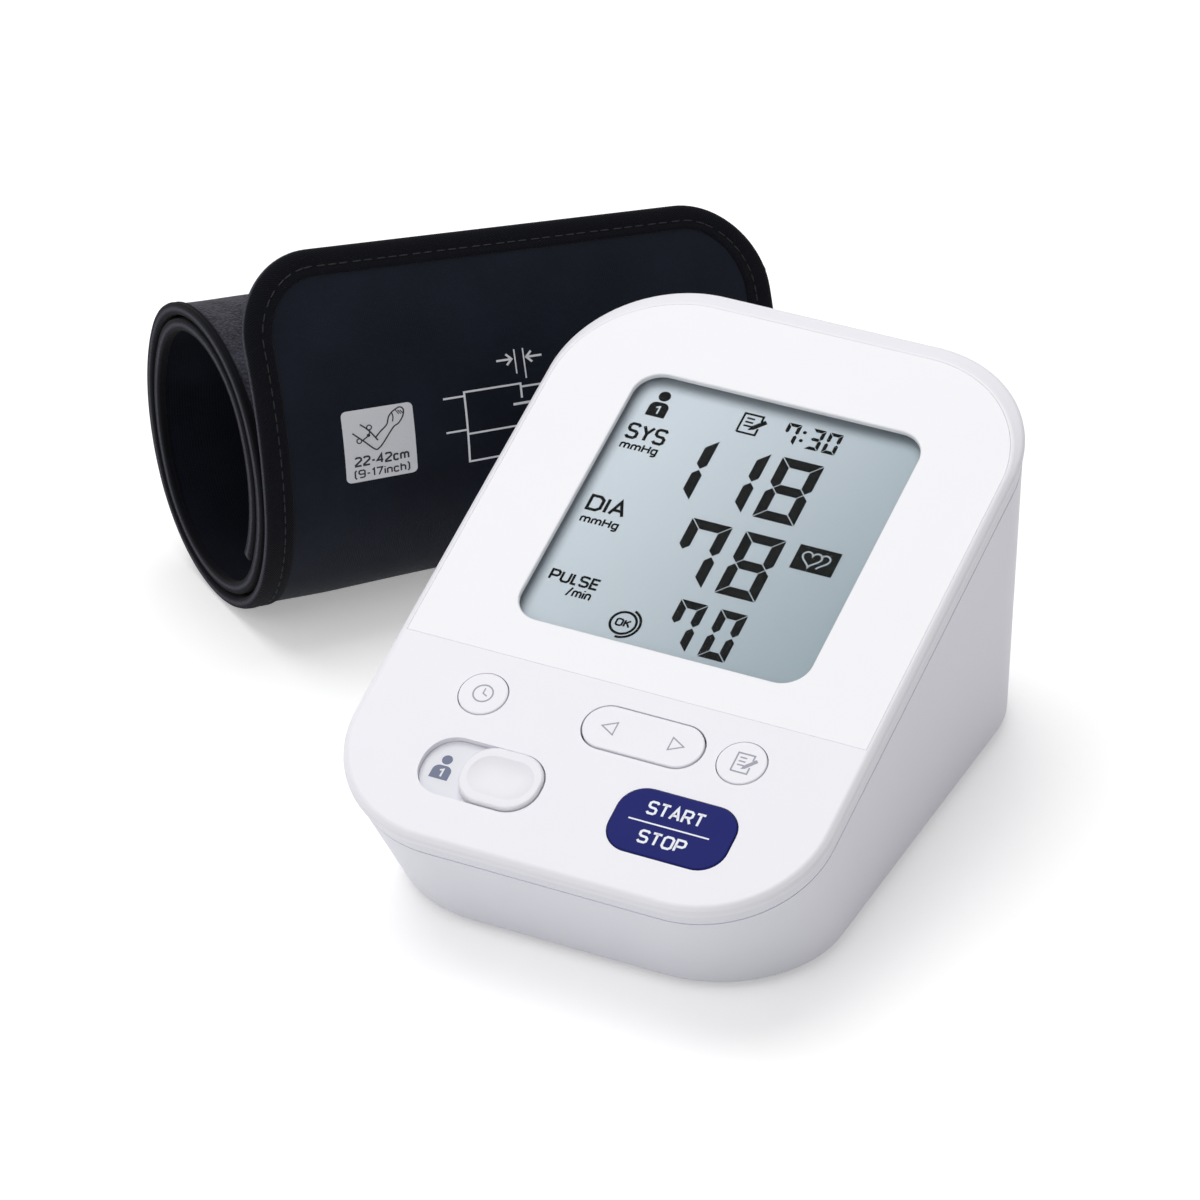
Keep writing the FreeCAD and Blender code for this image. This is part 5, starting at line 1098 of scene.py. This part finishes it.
LABEL_ORIGIN = (18.0, 58.8)
LABEL_WIDTH = 16.2
LABEL_HEIGHT = 17.0
LABEL_THICKNESS = 0.04
LABEL_LIFT = 0.02
ROW_SPACING = 1.0
ARM_LINE = 0.32
DETAIL_LINE = 0.28
label = Marks(LABEL_THICKNESS)
label.polygon(rounded_box(LABEL_WIDTH, LABEL_HEIGHT, 1.2))
label.cut_rows(ROW_SPACING, LABEL_HEIGHT, ROW_SPACING)
label.piece("cuff_label", "print_pale", "cuff", flap_place(LABEL_ORIGIN, LABEL_LIFT))

label_marks = Marks(PRINT_THICKNESS)
label_marks.stroke(curve([(2.1, 11.8), (4.5, 9.6), (6.9, 7.3), (7.9, 7.5), (8.9, 8.5), (11.4, 11.7),
                          (12.7, 12.5), (13.8, 14.0), (14.1, 15.5), (13.4, 16.2), (12.4, 15.9),
                          (11.4, 15.3)]), ARM_LINE)
label_marks.stroke(curve([(7.3, 10.1), (8.5, 11.3), (10.0, 12.6), (10.6, 14.3), (11.4, 15.3)]), ARM_LINE)
label_marks.stroke(curve([(4.0, 13.6), (5.3, 12.5), (6.4, 11.2), (7.7, 9.3)]), ARM_LINE)
label_marks.stroke(curve([(11.4, 15.3), (11.6, 14.2), (11.4, 13.1)]), DETAIL_LINE)
for reach in (0.0, 0.5, 1.0):
    label_marks.stroke([(12.3 + reach, 15.7 - reach * 0.2), (13.0 + reach, 14.6)], 0.22)
label_marks.stroke(curve([(6.1, 11.9), (5.7, 10.8), (4.4, 9.9)]), DETAIL_LINE)
label_marks.disc((5.7, 10.8), 0.4)
for centre in ((6.0, 12.6), (3.5, 9.8)):
    label_marks.arc(centre, 0.55, 0.26, steps=16)
label_marks.text("22-42cm", (2.0, 3.7, 14.5, 6.1), 0.42)
label_marks.text("(9-17inch)", (1.8, 0.6, 14.5, 3.1), 0.34)
label_marks.cut_rows(ROW_SPACING, LABEL_HEIGHT, ROW_SPACING)
label_marks.piece("cuff_label_marks", "print_dark", "cuff",
                  flap_place(LABEL_ORIGIN, LABEL_LIFT + LABEL_THICKNESS))

INDEX_ORIGIN = (42.0, 58.0)
INDEX_HEIGHT = 25.0
INDEX_LINE = 0.45
ARROW_LINE = 0.5
index_marks = Marks(LABEL_THICKNESS)
index_marks.stroke([(17.2, 12.9), (17.2, 16.4), (4.2, 16.4), (4.2, -0.7), (40.0, -0.7)], INDEX_LINE)
for start, end, height in ((-0.7, 4.2, 15.5), (17.2, 40.0, 15.6), (-0.7, 4.2, 7.3), (4.2, 40.0, 6.2)):
    index_marks.stroke([(start, height), (end, height)], INDEX_LINE)
index_marks.stroke([(15.1, 11.6), (22.0, 11.6)], 0.6)
for x, low in ((16.7, 18.9), (18.7, 17.5)):
    index_marks.stroke([(x, low), (x, 24.7)], 0.3)
for tip, way in ((15.9, 1), (19.3, -1)):
    index_marks.stroke([(tip - way * 3.5, 22.5), (tip, 22.5)], ARROW_LINE)
    index_marks.stroke([(tip - way * 1.2, 23.8), (tip, 22.5), (tip - way * 1.2, 21.2)], ARROW_LINE)
index_marks.cut_rows(0.0, INDEX_HEIGHT, ROW_SPACING)
index_marks.piece("cuff_index_marks", "print_white", "cuff", flap_place(INDEX_ORIGIN, LABEL_LIFT))


# Floor, light and camera

FLOOR_REACH = 6.0
FLOOR_GAP = 0.0004
FLOOR_COLOUR = (0.92, 0.92, 0.92, 1.0)
PURE_WHITE = (1.0, 1.0, 1.0, 1.0)
FLOOR_GLOW = 0.3
WORLD_LIGHT = 0.37
LAMP_TARGET = Vector((0.0, 0.0, 0.04))


def make_floor():
    mesh = bmesh.new()
    level = cad_low.z - FLOOR_GAP
    for x, y in ((-1, -1), (1, -1), (1, 1), (-1, 1)):
        mesh.verts.new((x * FLOOR_REACH, y * FLOOR_REACH, level))
    mesh.faces.new(mesh.verts)
    data = bpy.data.meshes.new("floor")
    mesh.to_mesh(data)
    mesh.free()
    floor = new_object("floor", data)
    tree, shader = start_material("studio_floor", {})
    tree.nodes.remove(shader)
    paper = add(tree, "ShaderNodeBsdfDiffuse", {"Color": FLOOR_COLOUR})
    strength = math_node(tree, "MULTIPLY", seen_rays(tree), FLOOR_GLOW)
    glow = add(tree, "ShaderNodeEmission", {"Color": PURE_WHITE, "Strength": strength})
    both = add(tree, "ShaderNodeAddShader", {0: paper.outputs["BSDF"], 1: glow.outputs["Emission"]})
    fill(tree, tree.nodes["Material Output"], {"Surface": both.outputs["Shader"]})
    data.materials.append(MATERIALS["studio_floor"])


def make_world():
    world = bpy.data.worlds.new("studio")
    bpy.context.scene.world = world
    world.use_nodes = True
    tree = world.node_tree
    extra = math_node(tree, "MULTIPLY", seen_rays(tree), 1.0 - WORLD_LIGHT)
    strength = math_node(tree, "ADD", extra, WORLD_LIGHT)
    fill(tree, tree.nodes["Background"], {"Color": PURE_WHITE, "Strength": strength})


def area_light(name, place, size, watts):
    lamp = bpy.data.lights.new(name, "AREA")
    lamp.shape = "SQUARE"
    lamp.size = size
    lamp.energy = watts
    made = new_object(name, lamp)
    made.location = place
    made.rotation_mode = "QUATERNION"
    made.rotation_quaternion = (LAMP_TARGET - Vector(place)).to_track_quat("-Z", "Y")


def make_camera():
    azimuth = math.radians(CAMERA_AZIMUTH)
    elevation = math.radians(CAMERA_ELEVATION)
    roll = math.radians(CAMERA_ROLL)
    back = Vector((math.sin(azimuth) * math.cos(elevation), -math.cos(azimuth) * math.cos(elevation),
                   math.sin(elevation)))
    level = Vector((math.cos(azimuth), math.sin(azimuth), 0.0))
    above = back.cross(level)
    right = level * math.cos(roll) + above * math.sin(roll)
    up = above * math.cos(roll) - level * math.sin(roll)
    data = bpy.data.cameras.new("camera")
    data.lens = CAMERA_LENS
    data.sensor_width = CAMERA_SENSOR
    data.clip_end = CAMERA_REACH
    camera = new_object("camera", data)
    turn = Matrix((right, up, back)).transposed().to_4x4()
    camera.matrix_world = Matrix.Translation(CAMERA_TARGET + back * CAMERA_DISTANCE) @ turn
    bpy.context.scene.camera = camera


make_floor()
make_world()
area_light("key", (-0.55, 0.35, 1.9), 1.6, 23.0)
area_light("front", (-0.5, -1.5, 1.2), 1.8, 9.5)
make_camera()
bpy.context.scene.view_settings.view_transform = "Standard"
